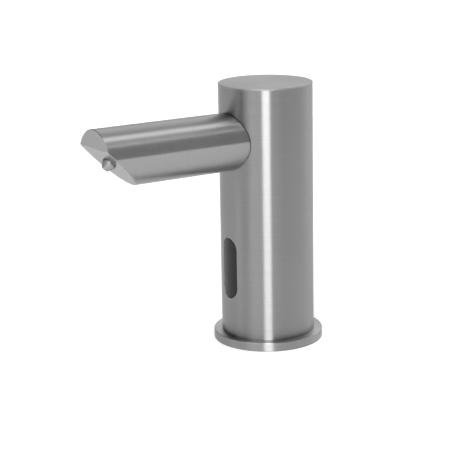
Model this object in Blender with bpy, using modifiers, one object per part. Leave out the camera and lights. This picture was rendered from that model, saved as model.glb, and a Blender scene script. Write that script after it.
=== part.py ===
"""Head of a touch-free soap dispenser for a worktop.

The worktop is the plane z = 0, the body stands on it along +Z, and the spout points along -Y
and rises a little.
Soap comes up through a push-in fitting in the foot, follows an inner tube into the spout and
leaves through a sprung ball valve and the nozzle. Every length is in metres.
"""

from math import cos, pi, radians, sin, sqrt, tan

import bmesh
import bpy
import numpy as np
from mathutils import Matrix, Vector

# Fits that all pieces share
GAP = 0.0003
SOFT_GAP = 0.0002
OVERRUN = 0.004
MERGE = 0.00001

# How finely round and swept shapes are divided
BODY_STEPS = 60
RING_STEPS = 40
SMALL_STEPS = 28
BORE_STEPS = 20
WIRE_STEPS = 16
RING_SIDES = 8
DOME_STEPS = 4
SPRING_SIDE_STEPS = 1
LEAD_SIDE_STEPS = 2
TUBE_SIDE_STEPS = 4
HEXAGON_SIDES = 6
SHARP_ANGLE = radians(30)
FLAT_SHARE = cos(pi / HEXAGON_SIDES)

# Body tube
BODY_RADIUS = 0.0250
BODY_WALL = 0.0015
BODY_HEIGHT = 0.1396
BODY_FOOT_CHAMFER = 0.0004

# Lid
LID_RIM = 0.0008
LID_CHAMFER = 0.0003
LID_THICKNESS = 0.0025
LID_SPIGOT_DEPTH = 0.0062
LID_SPIGOT_WALL = 0.0032
LID_RING_DEPTH = 0.0032

# Foot
FITTING_CLEARANCE = 0.0004
FLANGE_LEDGE = 0.00445
FLANGE_THICKNESS = 0.00485
FLANGE_CHAMFER = 0.0004
FLOOR_THICKNESS = 0.0080
SPIGOT_HEIGHT = 0.0100
SPIGOT_WALL = 0.0042
SPIGOT_RING_RISE = 0.0026
RING_SECTION = 0.0008
STUD_HOLE_RADIUS = 0.0025
STUD_HOLE_OFFSET = 0.0135
STUD_HOLE_DEPTH = 0.0062
DECK_SEAL_MARGIN = 0.0018
DECK_SEAL_WIDTH = 0.0022
DECK_SEAL_THICKNESS = 0.0013

# Set screw at the back
SET_SCREW_RADIUS = 0.0017
SET_SCREW_LENGTH = 0.0044
SET_SCREW_RECESS = 0.0004
SET_SCREW_DROP = 0.0033
SET_SCREW_KEY_RADIUS = 0.0010
SET_SCREW_KEY_DEPTH = 0.0015

# Push-in fitting for the supply hose
HOSE_RADIUS = 0.0030
HOSE_CLEARANCE = 0.00025
COLLET_WALL = 0.0010
COLLET_LENGTH = 0.0054
COLLET_LIP = 0.0010
COLLET_LIP_WIDTH = 0.0011
COLLET_RECESS = 0.0005
COLLET_TRAVEL = 0.0010
INLET_RING_SECTION = 0.0006
CONNECTOR_WALL = 0.0007
CONNECTOR_FLANGE_WIDTH = 0.0016
CONNECTOR_FLANGE = 0.0022
CONNECTOR_NUT_HEIGHT = 0.0035
CONNECTOR_NUT_WALL = 0.00095
CONNECTOR_PAST_NUT = 0.0014
CONNECTOR_STOP_WALL = 0.0019

# Hose barbs and the inner soap tube
TUBE_RADIUS = 0.0030
TUBE_BORE = 0.0020
TUBE_BEND = 0.0200
TUBE_BEND_STEPS = 12
TUBE_SWEEP_STEPS = 9
BARB_LENGTH = 0.0090
BARB_NECK = 0.0015
BARB_RIDGE = 0.0017
BARB_RIDGES = 2
BARB_BORE = 0.0009

# Socket for the sensor lead
SOCKET_BARREL_RADIUS = 0.0045
SOCKET_CAVITY_RADIUS = 0.0037
SOCKET_CAVITY_DEPTH = 0.0056
SOCKET_FLANGE_WIDTH = 0.0014
SOCKET_FLANGE = 0.0022
SOCKET_RECESS = 0.0004
SOCKET_NUT_HEIGHT = 0.0030
SOCKET_NUT_WALL = 0.0010
SOCKET_PAST_NUT = 0.0007
SOCKET_NECK_RADIUS = 0.0030
SOCKET_NECK = 0.0015
CONTACT_COUNT = 3
CONTACT_RADIUS = 0.00055
CONTACT_CIRCLE = 0.0018
CONTACT_DEPTH = 0.0030

# Spout
SPOUT_RADIUS = 0.01525
SPOUT_WALL = 0.0015
SPOUT_DROP = 0.02936
SPOUT_REACH = 0.1037
SPOUT_RISE = radians(0.63)
NOSE_ANGLE = radians(45)
NOSE_FLAT_RISE = 0.00577
NOSE_WALL = 0.0030
NOSE_CHAMFER = 0.0005

# Joint of spout and body
ADAPTER_LENGTH = 0.0100
NIPPLE_RADIUS = 0.0070
NIPPLE_BORE = 0.0045
NIPPLE_PAST_NUT = 0.0016
SADDLE_GASKET_THICKNESS = 0.0010
SADDLE_WASHER_RADIUS = 0.0105
SADDLE_WASHER_THICKNESS = 0.0046
SPOUT_NUT_WALL = 0.0027
SPOUT_NUT_HEIGHT = 0.0050

# Nozzle, placed down the slanted face from its upper edge
NOZZLE_DROP = 0.01205
NOZZLE_HEIGHT = 0.0038
NOZZLE_BASE_RADIUS = 0.0037
NOZZLE_LAND = 0.0003
NOZZLE_TIP_RADIUS = 0.0019
NOZZLE_TIP_CHAMFER = 0.0002
NOZZLE_SHANK_RADIUS = 0.0024
NOZZLE_SHANK_PAST_WALL = 0.0034
NOZZLE_BORE = 0.0009
NOZZLE_WASHER = 0.0008

# Anti-drip valve behind the nozzle
VALVE_RADIUS = 0.0046
ELBOW_KNUCKLE = 0.0004
ELBOW_DEPTH = 0.0085
VALVE_PASSAGE = 0.0011
VALVE_SHOULDER = 0.0032
BALL_RADIUS = 0.0022
BALL_CLEARANCE = 0.0004
BALL_TRAVEL = 0.0012
SPRING_WIRE = 0.0002
SPRING_COIL_RADIUS = 0.0017
SPRING_SQUEEZED = 0.0039
SPRING_TURNS = 4
SPRING_TURN_STEPS = 10
SEAT_RADIUS = 0.0012
INLET_PLUG_LENGTH = 0.0034
INLET_PLUG_FLANGE = 0.0016

# Sensor window
WINDOW_HEIGHT = 0.0421
WINDOW_HALF_HEIGHT = 0.0165
WINDOW_HALF_WIDTH = 0.00615
WINDOW_RECESS = 0.0005
WINDOW_FLANGE_MARGIN = 0.0021
WINDOW_FLANGE_DEPTH = 0.0036
WINDOW_GASKET_THICKNESS = 0.0008

# Sensor case and what it holds
HOUSING_MARGIN = 0.0016
HOUSING_WALL = 0.0015
HOUSING_LEDGE = 0.00195
HOUSING_REAR_DEPTH = 0.0048
HOUSING_EDGE = 0.0008
BOARD_DEPTH = 0.0053
BOARD_THICKNESS = 0.0012
CHIP_SIZE = 0.0050
CHIP_RISE = 0.0012
CHIP_OFFSET = 0.0110
OPTIC_RADIUS = 0.0025
OPTIC_BASE_WIDTH = 0.0004
OPTIC_BASE = 0.0008
OPTIC_LENGTH = 0.0040
OPTIC_OFFSET = 0.0080
COVER_THICKNESS = 0.0015
PLUG_HALF_WIDTH = 0.0030
PLUG_DEPTH = 0.0045
PLUG_HEIGHT = 0.0050
PLUG_LEAD_DEPTH = 0.0025
LEAD_RADIUS = 0.0012
LEAD_STEPS = 8

# Bracket and small screws
BRACKET_THICKNESS = 0.0012
BRACKET_HALF_WIDTH = 0.0100
BRACKET_RISE = 0.0140
BRACKET_STRIP_HALF_DEPTH = 0.0027
BRACKET_STRIP_FRONT = 0.0005
BRACKET_WALL_GAP = 0.0007
SMALL_SCREW_RADIUS = 0.0009
SMALL_SCREW_HEAD_RADIUS = 0.0018
SMALL_SCREW_HEAD = 0.0014
SMALL_SCREW_KEY_RADIUS = 0.0008
SMALL_SCREW_KEY_DEPTH = 0.0008
HOUSING_SCREW_DEPTH = 0.0040
BRACKET_SCREW_DEPTH = 0.0040

# Worked out: radii and heights of body, lid and foot
BODY_INNER = BODY_RADIUS - BODY_WALL
BODY_BOTTOM = FLANGE_THICKNESS + GAP
LID_UNDERSIDE = BODY_HEIGHT - LID_RIM
BODY_TOP = LID_UNDERSIDE - GAP
FLANGE_RADIUS = BODY_RADIUS + FLANGE_LEDGE
SPIGOT_RADIUS = BODY_INNER - GAP
SPIGOT_INNER = SPIGOT_RADIUS - SPIGOT_WALL
SPIGOT_TOP = FLANGE_THICKNESS + SPIGOT_HEIGHT
RING_RADIUS = BODY_INNER - SOFT_GAP - RING_SECTION
RING_GROOVE = RING_RADIUS - RING_SECTION - SOFT_GAP
RING_GROOVE_HALF = RING_SECTION + SOFT_GAP
SPIGOT_RING_HEIGHT = FLANGE_THICKNESS + SPIGOT_RING_RISE
LID_RING_HEIGHT = LID_UNDERSIDE - LID_RING_DEPTH
SET_SCREW_HEIGHT = SPIGOT_TOP - SET_SCREW_DROP
DECK_SEAL_OUTER = FLANGE_RADIUS - DECK_SEAL_MARGIN
DECK_SEAL_INNER = DECK_SEAL_OUTER - DECK_SEAL_WIDTH
SCREW_HOLE_RADIUS = SMALL_SCREW_RADIUS + GAP

# Worked out: push-in fitting
COLLET_BORE = HOSE_RADIUS + HOSE_CLEARANCE
COLLET_RADIUS = COLLET_BORE + COLLET_WALL
MOUTH_RADIUS = COLLET_RADIUS + GAP
CONNECTOR_BARREL = MOUTH_RADIUS + CONNECTOR_WALL
CONNECTOR_FLANGE_RADIUS = CONNECTOR_BARREL + CONNECTOR_FLANGE_WIDTH
CONNECTOR_BOTTOM = COLLET_RECESS + COLLET_LIP + COLLET_TRAVEL + GAP
CONNECTOR_SHOULDER = CONNECTOR_BOTTOM + CONNECTOR_FLANGE
CONNECTOR_NUT_BOTTOM = FLOOR_THICKNESS + GAP
CONNECTOR_TOP = CONNECTOR_NUT_BOTTOM + CONNECTOR_NUT_HEIGHT + CONNECTOR_PAST_NUT
HOSE_STOP = CONNECTOR_TOP - CONNECTOR_STOP_WALL
COLLET_TOP = COLLET_RECESS + COLLET_LENGTH
CONNECTOR_NUT_RADIUS = (CONNECTOR_BARREL + GAP + CONNECTOR_NUT_WALL) / FLAT_SHARE
INLET_OFFSET = SPIGOT_INNER - CONNECTOR_NUT_RADIUS - FITTING_CLEARANCE
INLET_RING_HEIGHT = COLLET_TOP + COLLET_TRAVEL + GAP + INLET_RING_SECTION
INLET_RING_RADIUS = MOUTH_RADIUS - SOFT_GAP - INLET_RING_SECTION
MOUTH_TOP = INLET_RING_HEIGHT + INLET_RING_SECTION + SOFT_GAP

# Worked out: socket
SOCKET_FLANGE_RADIUS = SOCKET_BARREL_RADIUS + SOCKET_FLANGE_WIDTH
SOCKET_SHOULDER = SOCKET_RECESS + SOCKET_FLANGE
SOCKET_NUT_BOTTOM = FLOOR_THICKNESS + GAP
SOCKET_TOP = SOCKET_NUT_BOTTOM + SOCKET_NUT_HEIGHT + SOCKET_PAST_NUT
SOCKET_NECK_TOP = SOCKET_TOP + SOCKET_NECK
SOCKET_NUT_RADIUS = (SOCKET_BARREL_RADIUS + GAP + SOCKET_NUT_WALL) / FLAT_SHARE
SOCKET_OFFSET = SPIGOT_INNER - SOCKET_NUT_RADIUS - FITTING_CLEARANCE
SOCKET_FACE = SOCKET_RECESS + SOCKET_CAVITY_DEPTH
LEAD_BOTTOM = SOCKET_TOP - SOCKET_NECK
LEAD_HOLE = LEAD_RADIUS + GAP

# Worked out: spout joint, measured along the spout from the body axis
SPOUT_HEIGHT = BODY_HEIGHT - SPOUT_DROP
SADDLE_RADIUS = BODY_RADIUS + GAP
SPOUT_BORE = SPOUT_RADIUS - SPOUT_WALL
ADAPTER_RADIUS = SPOUT_BORE - GAP
ADAPTER_SADDLE = SADDLE_RADIUS + SADDLE_GASKET_THICKNESS + GAP
ADAPTER_FRONT = ADAPTER_SADDLE + ADAPTER_LENGTH
NIPPLE_HOLE = NIPPLE_RADIUS + GAP
SADDLE_WASHER_REAR = BODY_INNER - GAP - SADDLE_WASHER_THICKNESS
SPOUT_NUT_FRONT = SADDLE_WASHER_REAR - GAP
SPOUT_NUT_REAR = SPOUT_NUT_FRONT - SPOUT_NUT_HEIGHT
SPOUT_NUT_RADIUS = (NIPPLE_HOLE + SPOUT_NUT_WALL) / FLAT_SHARE
NIPPLE_REAR = SPOUT_NUT_REAR - NIPPLE_PAST_NUT

# Worked out: nose, nozzle and valve
UP = Vector((0, 0, 1))
SIDEWAYS = Vector((1, 0, 0))
FORWARD = Vector((0, -1, 0))
SPOUT_ROOT = UP * SPOUT_HEIGHT
SPOUT_OUT = Vector((0, -cos(SPOUT_RISE), sin(SPOUT_RISE)))
SPOUT_UP = Vector((0, sin(SPOUT_RISE), cos(SPOUT_RISE)))
NOSE_OUT = SPOUT_OUT * cos(NOSE_ANGLE) - SPOUT_UP * sin(NOSE_ANGLE)
NOSE_DOWN = -SPOUT_OUT * sin(NOSE_ANGLE) - SPOUT_UP * cos(NOSE_ANGLE)
NOSE_EDGE = SPOUT_ROOT + SPOUT_OUT * SPOUT_REACH + SPOUT_UP * NOSE_FLAT_RISE
NOZZLE_SEAT = NOSE_EDGE + NOSE_DOWN * NOZZLE_DROP
NOZZLE_SHANK_END = NOSE_WALL + NOZZLE_SHANK_PAST_WALL
NOZZLE_HOLE = NOZZLE_SHANK_RADIUS + GAP
WASHER_NEAR = NOSE_WALL + SOFT_GAP
WASHER_FAR = WASHER_NEAR + NOZZLE_WASHER
VALVE_MOUTH = WASHER_FAR + SOFT_GAP
ELBOW = NOZZLE_SEAT - NOSE_OUT * ELBOW_DEPTH
ELBOW_REACH = (ELBOW - SPOUT_ROOT).dot(SPOUT_OUT)
ELBOW_RISE = (ELBOW - SPOUT_ROOT).dot(SPOUT_UP)
CHAMBER_RADIUS = BALL_RADIUS + BALL_CLEARANCE
SPRING_START = VALVE_SHOULDER + SOFT_GAP + SPRING_WIRE
SPRING_LENGTH = SPRING_SQUEEZED + BALL_TRAVEL
SPRING_END = SPRING_START + SPRING_LENGTH
BALL_CONTACT = BALL_RADIUS + SPRING_WIRE + SOFT_GAP
BALL_CENTRE = SPRING_END + sqrt(BALL_CONTACT**2 - SPRING_COIL_RADIUS**2)
SEAT_FACE = BALL_CENTRE + sqrt(BALL_RADIUS**2 - SEAT_RADIUS**2) + GAP
VALVE_FLANGE_FRONT = SEAT_FACE + INLET_PLUG_LENGTH
VALVE_FLANGE_REAR = VALVE_FLANGE_FRONT + INLET_PLUG_FLANGE
VALVE_END = VALVE_FLANGE_FRONT - GAP

# Worked out: sensor, measured forward from the body axis
GASKET_OUTER = BODY_INNER - GAP
GASKET_INNER = GASKET_OUTER - WINDOW_GASKET_THICKNESS
WINDOW_FLANGE_RADIUS = GASKET_INNER - SOFT_GAP
WINDOW_FLANGE_REAR = WINDOW_FLANGE_RADIUS - WINDOW_FLANGE_DEPTH
WINDOW_FLANGE_HALF_WIDTH = WINDOW_HALF_WIDTH + WINDOW_FLANGE_MARGIN
WINDOW_FLANGE_HALF_HEIGHT = WINDOW_HALF_HEIGHT + WINDOW_FLANGE_MARGIN
HOUSING_FRONT = WINDOW_FLANGE_REAR - GAP
HOUSING_HALF_WIDTH = WINDOW_FLANGE_HALF_WIDTH + HOUSING_MARGIN
HOUSING_HALF_HEIGHT = WINDOW_FLANGE_HALF_HEIGHT + HOUSING_MARGIN
CAVITY_HALF_WIDTH = HOUSING_HALF_WIDTH - HOUSING_WALL
CAVITY_HALF_HEIGHT = HOUSING_HALF_HEIGHT - HOUSING_WALL
BOARD_FRONT = HOUSING_FRONT - BOARD_DEPTH
BOARD_REAR = BOARD_FRONT - BOARD_THICKNESS
LEDGE_FACE = BOARD_REAR - GAP
LEDGE_HALF_WIDTH = CAVITY_HALF_WIDTH - HOUSING_LEDGE
LEDGE_HALF_HEIGHT = CAVITY_HALF_HEIGHT - HOUSING_LEDGE
HOUSING_REAR = LEDGE_FACE - HOUSING_REAR_DEPTH
COVER_FRONT = HOUSING_REAR - GAP
COVER_REAR = COVER_FRONT - COVER_THICKNESS
BRACKET_FRONT = COVER_REAR - GAP
BRACKET_REAR = BRACKET_FRONT - BRACKET_THICKNESS
HOUSING_SCREW_OFFSET = (LEDGE_HALF_WIDTH + HOUSING_HALF_WIDTH) / 2
HOUSING_BOTTOM = WINDOW_HEIGHT - HOUSING_HALF_HEIGHT
PLUG_FRONT = BOARD_REAR - GAP
PLUG_MIDDLE = PLUG_FRONT - PLUG_DEPTH / 2
PLUG_BOTTOM = WINDOW_HEIGHT - LEDGE_HALF_HEIGHT + GAP
LEAD_TOP = PLUG_BOTTOM + PLUG_LEAD_DEPTH - GAP

# Worked out: bracket foot on top of the spigot
STRIP_FRONT = BRACKET_FRONT + BRACKET_STRIP_FRONT
STRIP_MIDDLE = STRIP_FRONT - BRACKET_STRIP_HALF_DEPTH
STRIP_REAR = STRIP_MIDDLE - BRACKET_STRIP_HALF_DEPTH
STRIP_BOTTOM = SPIGOT_TOP + GAP
STRIP_TOP = STRIP_BOTTOM + BRACKET_THICKNESS
SPIGOT_MIDDLE = SPIGOT_RADIUS - SPIGOT_WALL / 2
BRACKET_SCREW_OFFSET = sqrt(SPIGOT_MIDDLE**2 - STRIP_MIDDLE**2)


def clear_scene():
    """Remove the objects that a new Blender file starts with."""
    for found in list(bpy.data.objects):
        bpy.data.objects.remove(found, do_unlink=True)


def new_collection(name):
    made = bpy.data.collections.new(name)
    bpy.context.scene.collection.children.link(made)
    return made


def finish(name, colour, roughness, metallic=0.0):
    """A plain material of one colour for a sub-part."""
    made = bpy.data.materials.new(name)
    made.use_nodes = True
    shader = made.node_tree.nodes["Principled BSDF"]
    shader.inputs["Base Color"].default_value = (*colour, 1.0)
    shader.inputs["Roughness"].default_value = roughness
    shader.inputs["Metallic"].default_value = metallic
    return made


def facing(origin, direction):
    """A frame at origin whose Z follows direction; its X is the world's X."""
    rows = Matrix((SIDEWAYS, direction.cross(SIDEWAYS), direction)).transposed()
    return Matrix.Translation(origin) @ rows.to_4x4()


def spout_frame():
    """Z runs forward from the body axis along the spout, and Y is up."""
    return facing(SPOUT_ROOT, SPOUT_OUT)


def window_frame():
    """Z runs forward through the middle of the window, and Y is up."""
    return facing(Vector((0, 0, WINDOW_HEIGHT)), FORWARD)


def nozzle_frame():
    """Z leaves the slanted face along the nozzle, and Y runs up the face."""
    return facing(NOZZLE_SEAT, NOSE_OUT)


def valve_frame():
    """Z runs back from the elbow along the ball's chamber."""
    return facing(ELBOW, -SPOUT_OUT)


def inlet_frame():
    return facing(Vector((0, INLET_OFFSET, 0)), UP)


def socket_frame():
    return facing(Vector((0, -SOCKET_OFFSET, 0)), UP)


def mesh_from(shape, name):
    mesh = bpy.data.meshes.new(name)
    shape.to_mesh(mesh)
    shape.free()
    return mesh


def bar_shape(radius, start, end, sides, turn=0.0):
    """A cylinder along Z from start to end, turned about Z, before it becomes a mesh."""
    shape = bmesh.new()
    place = Matrix.Translation((0, 0, (start + end) / 2)) @ Matrix.Rotation(turn, 4, "Z")
    bmesh.ops.create_cone(
        shape,
        cap_ends=True,
        segments=sides,
        radius1=radius,
        radius2=radius,
        depth=end - start,
        matrix=place,
    )
    return shape


def bar_mesh(name, radius, start, end, sides, turn=0.0):
    return mesh_from(bar_shape(radius, start, end, sides, turn), name)


def hexagon_mesh(name, corner_radius, start, end):
    """A hexagonal bar along Z, sized at its corners."""
    return bar_mesh(name, corner_radius, start, end, HEXAGON_SIDES)


def box_mesh(name, low, high):
    """A box between two opposite corners."""
    shape = bmesh.new()
    size = Vector(high) - Vector(low)
    middle = (Vector(high) + Vector(low)) / 2
    bmesh.ops.create_cube(shape, size=1.0, matrix=Matrix.Translation(middle) @ Matrix.Diagonal((*size, 1)))
    return mesh_from(shape, name)


def stadium_mesh(name, half_width, half_height, start, end):
    """A slot-shaped bar along Z: a cylinder whose upper and lower halves are pulled apart along Y."""
    shape = bar_shape(half_width, start, end, SMALL_STEPS, pi / SMALL_STEPS)
    for vertex in shape.verts:
        vertex.co.y += (half_height - half_width) * (1 if vertex.co.y > 0 else -1)
    return mesh_from(shape, name)


def sphere_mesh(name, radius, steps):
    shape = bmesh.new()
    bmesh.ops.create_uvsphere(shape, u_segments=steps, v_segments=steps // 2, radius=radius)
    return mesh_from(shape, name)


def outline_mesh(name, points, closed):
    """The half outline of a turned shape, as (radius, height) points down its outer side."""
    mesh = bpy.data.meshes.new(name)
    count = len(points)
    edges = [(i, i + 1) for i in range(count - 1)]
    if closed:
        edges.append((count - 1, 0))
    mesh.from_pydata([(radius, 0, height) for radius, height in points], edges, [])
    return mesh


class Bench:
    """Where pieces and the tools that shape them are laid out."""

    def __init__(self):
        self.pieces = new_collection("soap_dispenser_head")
        self.tools = new_collection("cutters")
        self.count = 0

    def piece(self, name, mesh, material, place=None):
        """Add a sub-part as its own object."""
        made = bpy.data.objects.new(name, mesh)
        mesh.materials.append(material)
        self.pieces.objects.link(made)
        made.matrix_world = place or Matrix()
        return made

    def turned(self, name, points, material, place=None, steps=RING_STEPS, closed=True):
        """Add a turned sub-part: its outline goes round Z."""
        made = self.piece(name, outline_mesh(name, points, closed), material, place)
        add_screw(made, steps)
        return made

    def tool(self, mesh, place=None):
        """Add a hidden shape that cuts, joins or trims a sub-part."""
        self.count += 1
        made = bpy.data.objects.new(f"tool_{self.count:03d}", mesh)
        self.tools.objects.link(made)
        made.matrix_world = place or Matrix()
        made.hide_render = True
        made.display_type = "WIRE"
        return made


def add_screw(target, steps):
    turn = target.modifiers.new("turn", "SCREW")
    turn.steps = steps
    turn.render_steps = steps
    turn.use_merge_vertices = True
    turn.merge_threshold = MERGE


def add_boolean(target, operation, tool):
    change = target.modifiers.new(operation.lower(), "BOOLEAN")
    change.operation = operation
    change.solver = "EXACT"
    change.object = tool


def carve(target, *tools):
    for tool in tools:
        add_boolean(target, "DIFFERENCE", tool)


def join(target, *tools):
    for tool in tools:
        add_boolean(target, "UNION", tool)


def trim(target, tool):
    add_boolean(target, "INTERSECT", tool)


def add_bevel(target, width, steps=1):
    edge = target.modifiers.new("edges", "BEVEL")
    edge.width = width
    edge.segments = steps
    edge.limit_method = "ANGLE"
    edge.angle_limit = SHARP_ANGLE


def bar_tool(bench, radius, start, end, place, sides=BORE_STEPS):
    """A round tool, turned by half a step so that none of its corners lies on the plane x = 0."""
    return bench.tool(bar_mesh("bar", radius, start, end, sides, pi / sides), place)


def body_cylinder(bench, radius):
    """A tall cylinder on the body axis, for saddles and curved faces."""
    return bar_tool(bench, radius, -OVERRUN, BODY_HEIGHT + OVERRUN, Matrix(), BODY_STEPS)


def make_base_flange(bench, steel):
    """Foot: a flange on the worktop, a floor and a spigot that fits the body tube."""
    groove_top = SPIGOT_RING_HEIGHT + RING_GROOVE_HALF
    groove_bottom = SPIGOT_RING_HEIGHT - RING_GROOVE_HALF
    seal_depth = DECK_SEAL_THICKNESS + GAP
    points = [
        (0, FLOOR_THICKNESS),
        (SPIGOT_INNER, FLOOR_THICKNESS),
        (SPIGOT_INNER, SPIGOT_TOP),
        (SPIGOT_RADIUS - FLANGE_CHAMFER, SPIGOT_TOP),
        (SPIGOT_RADIUS, SPIGOT_TOP - FLANGE_CHAMFER),
        (SPIGOT_RADIUS, groove_top),
        (RING_GROOVE, groove_top),
        (RING_GROOVE, groove_bottom),
        (SPIGOT_RADIUS, groove_bottom),
        (SPIGOT_RADIUS, FLANGE_THICKNESS),
        (FLANGE_RADIUS - FLANGE_CHAMFER, FLANGE_THICKNESS),
        (FLANGE_RADIUS, FLANGE_THICKNESS - FLANGE_CHAMFER),
        (FLANGE_RADIUS, FLANGE_CHAMFER),
        (FLANGE_RADIUS - FLANGE_CHAMFER, 0),
        (DECK_SEAL_OUTER + GAP, 0),
        (DECK_SEAL_OUTER + GAP, seal_depth),
        (DECK_SEAL_INNER - GAP, seal_depth),
        (DECK_SEAL_INNER - GAP, 0),
        (0, 0),
    ]
    base = bench.turned("base_flange", points, steel, steps=BODY_STEPS, closed=False)
    past_floor = FLOOR_THICKNESS + OVERRUN
    carve(
        base,
        bar_tool(bench, CONNECTOR_BARREL + GAP, -OVERRUN, past_floor, inlet_frame(), SMALL_STEPS),
        bar_tool(
            bench,
            CONNECTOR_FLANGE_RADIUS + GAP,
            -OVERRUN,
            CONNECTOR_SHOULDER + GAP,
            inlet_frame(),
            SMALL_STEPS,
        ),
        bar_tool(bench, SOCKET_BARREL_RADIUS + GAP, -OVERRUN, past_floor, socket_frame()),
        bar_tool(bench, SOCKET_FLANGE_RADIUS + GAP, -OVERRUN, SOCKET_SHOULDER + GAP, socket_frame()),
        bar_tool(
            bench,
            SET_SCREW_RADIUS + GAP,
            SPIGOT_INNER - OVERRUN,
            BODY_RADIUS,
            set_screw_frame(),
            WIRE_STEPS,
        ),
    )
    for side in (-1, 1):
        stud = Matrix.Translation((side * STUD_HOLE_OFFSET, 0, 0))
        screw = Matrix.Translation((side * BRACKET_SCREW_OFFSET, -STRIP_MIDDLE, SPIGOT_TOP))
        carve(
            base,
            bar_tool(bench, STUD_HOLE_RADIUS, -OVERRUN, STUD_HOLE_DEPTH, stud),
            bar_tool(bench, SCREW_HOLE_RADIUS, -BRACKET_SCREW_DEPTH - GAP, OVERRUN, screw, WIRE_STEPS),
        )


def set_screw_frame():
    return facing(Vector((0, 0, SET_SCREW_HEIGHT)), -FORWARD)


def make_deck_seal(bench, rubber):
    """Flat ring in the groove under the foot, flush with the worktop plane."""
    points = [
        (DECK_SEAL_OUTER, DECK_SEAL_THICKNESS),
        (DECK_SEAL_OUTER, 0),
        (DECK_SEAL_INNER, 0),
        (DECK_SEAL_INNER, DECK_SEAL_THICKNESS),
    ]
    bench.turned("deck_seal", points, rubber, steps=BODY_STEPS)


def make_ring(bench, name, radius, section, height, material, place=None):
    """A rubber ring round Z: a circle of the ring's section, turned."""
    angles = [-2 * pi * i / RING_SIDES for i in range(RING_SIDES)]
    points = [(radius + section * cos(a), height + section * sin(a)) for a in angles]
    bench.turned(name, points, material, place)


def make_set_screw(bench, steel):
    """Headless screw through the back of the tube into the spigot."""
    outer = BODY_RADIUS - SET_SCREW_RECESS
    screw = bench.piece(
        "body_set_screw",
        bar_mesh("body_set_screw", SET_SCREW_RADIUS, outer - SET_SCREW_LENGTH, outer, WIRE_STEPS),
        steel,
        set_screw_frame(),
    )
    deep = outer - SET_SCREW_KEY_DEPTH
    key = hexagon_mesh("key", SET_SCREW_KEY_RADIUS, deep, outer + OVERRUN)
    carve(screw, bench.tool(key, set_screw_frame()))


def make_body_tube(bench, steel):
    """Upright tube with the spout hole, the window slot and the set screw's hole."""
    points = [
        (BODY_RADIUS, BODY_TOP),
        (BODY_RADIUS, BODY_BOTTOM + BODY_FOOT_CHAMFER),
        (BODY_RADIUS - BODY_FOOT_CHAMFER, BODY_BOTTOM),
        (BODY_INNER, BODY_BOTTOM),
        (BODY_INNER, BODY_TOP),
    ]
    body = bench.turned("body_tube", points, steel, steps=BODY_STEPS)
    slot = stadium_mesh("slot", WINDOW_HALF_WIDTH, WINDOW_HALF_HEIGHT, 0, BODY_RADIUS + OVERRUN)
    carve(
        body,
        bar_tool(bench, NIPPLE_HOLE, 0, BODY_RADIUS + OVERRUN, spout_frame(), SMALL_STEPS),
        bench.tool(slot, window_frame()),
        bar_tool(
            bench,
            SET_SCREW_RADIUS + GAP,
            0,
            BODY_RADIUS + OVERRUN,
            set_screw_frame(),
            WIRE_STEPS,
        ),
    )


def make_top_cap(bench, steel):
    """Flat lid with a thin rim on the tube and a grooved spigot inside it."""
    inner = SPIGOT_RADIUS - LID_SPIGOT_WALL
    points = [
        (0, BODY_HEIGHT),
        (BODY_RADIUS - LID_CHAMFER, BODY_HEIGHT),
        (BODY_RADIUS, BODY_HEIGHT - LID_CHAMFER),
        (BODY_RADIUS, LID_UNDERSIDE),
        (SPIGOT_RADIUS, LID_UNDERSIDE),
        (SPIGOT_RADIUS, LID_RING_HEIGHT + RING_GROOVE_HALF),
        (RING_GROOVE, LID_RING_HEIGHT + RING_GROOVE_HALF),
        (RING_GROOVE, LID_RING_HEIGHT - RING_GROOVE_HALF),
        (SPIGOT_RADIUS, LID_RING_HEIGHT - RING_GROOVE_HALF),
        (SPIGOT_RADIUS, LID_UNDERSIDE - LID_SPIGOT_DEPTH),
        (inner, LID_UNDERSIDE - LID_SPIGOT_DEPTH),
        (inner, BODY_HEIGHT - LID_THICKNESS),
        (0, BODY_HEIGHT - LID_THICKNESS),
    ]
    bench.turned("top_cap", points, steel, steps=BODY_STEPS, closed=False)


def nose_half_space(bench, inset):
    """A block outside the slanted plane, which is moved into the spout by inset."""
    reach = SPOUT_REACH
    block = box_mesh("nose_block", (-reach, -reach, 0), (reach, reach, reach))
    return bench.tool(block, facing(NOSE_EDGE - NOSE_OUT * inset, NOSE_OUT))


def make_spout_body(bench, steel):
    """Round spout: upright and slanted end face in front, saddle on the body at the rear."""
    outer = bar_mesh("spout_body", SPOUT_RADIUS, 0, SPOUT_REACH, BODY_STEPS)
    spout = bench.piece("spout_body", outer, steel, spout_frame())
    carve(spout, nose_half_space(bench, 0))
    add_bevel(spout, NOSE_CHAMFER)
    bore = bar_tool(bench, SPOUT_BORE, -OVERRUN, SPOUT_REACH - NOSE_WALL, spout_frame(), BODY_STEPS)
    carve(bore, nose_half_space(bench, NOSE_WALL))
    hole = bar_tool(bench, NOZZLE_HOLE, -NOSE_WALL - OVERRUN / 2, OVERRUN, nozzle_frame())
    carve(spout, bore, hole, body_cylinder(bench, SADDLE_RADIUS))


def make_spout_adapter(bench, steel):
    """Plug in the spout's rear end with a hollow threaded nipple through the body wall."""
    plug = bar_mesh("spout_adapter", ADAPTER_RADIUS, 0, ADAPTER_FRONT, RING_STEPS)
    adapter = bench.piece("spout_adapter", plug, steel, spout_frame())
    overlap = ADAPTER_FRONT - ADAPTER_LENGTH / 2
    carve(adapter, body_cylinder(bench, ADAPTER_SADDLE))
    join(adapter, bar_tool(bench, NIPPLE_RADIUS, NIPPLE_REAR, overlap, spout_frame(), SMALL_STEPS))
    bore_end = ADAPTER_FRONT + OVERRUN
    carve(adapter, bar_tool(bench, NIPPLE_BORE, 0, bore_end, spout_frame()))


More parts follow.
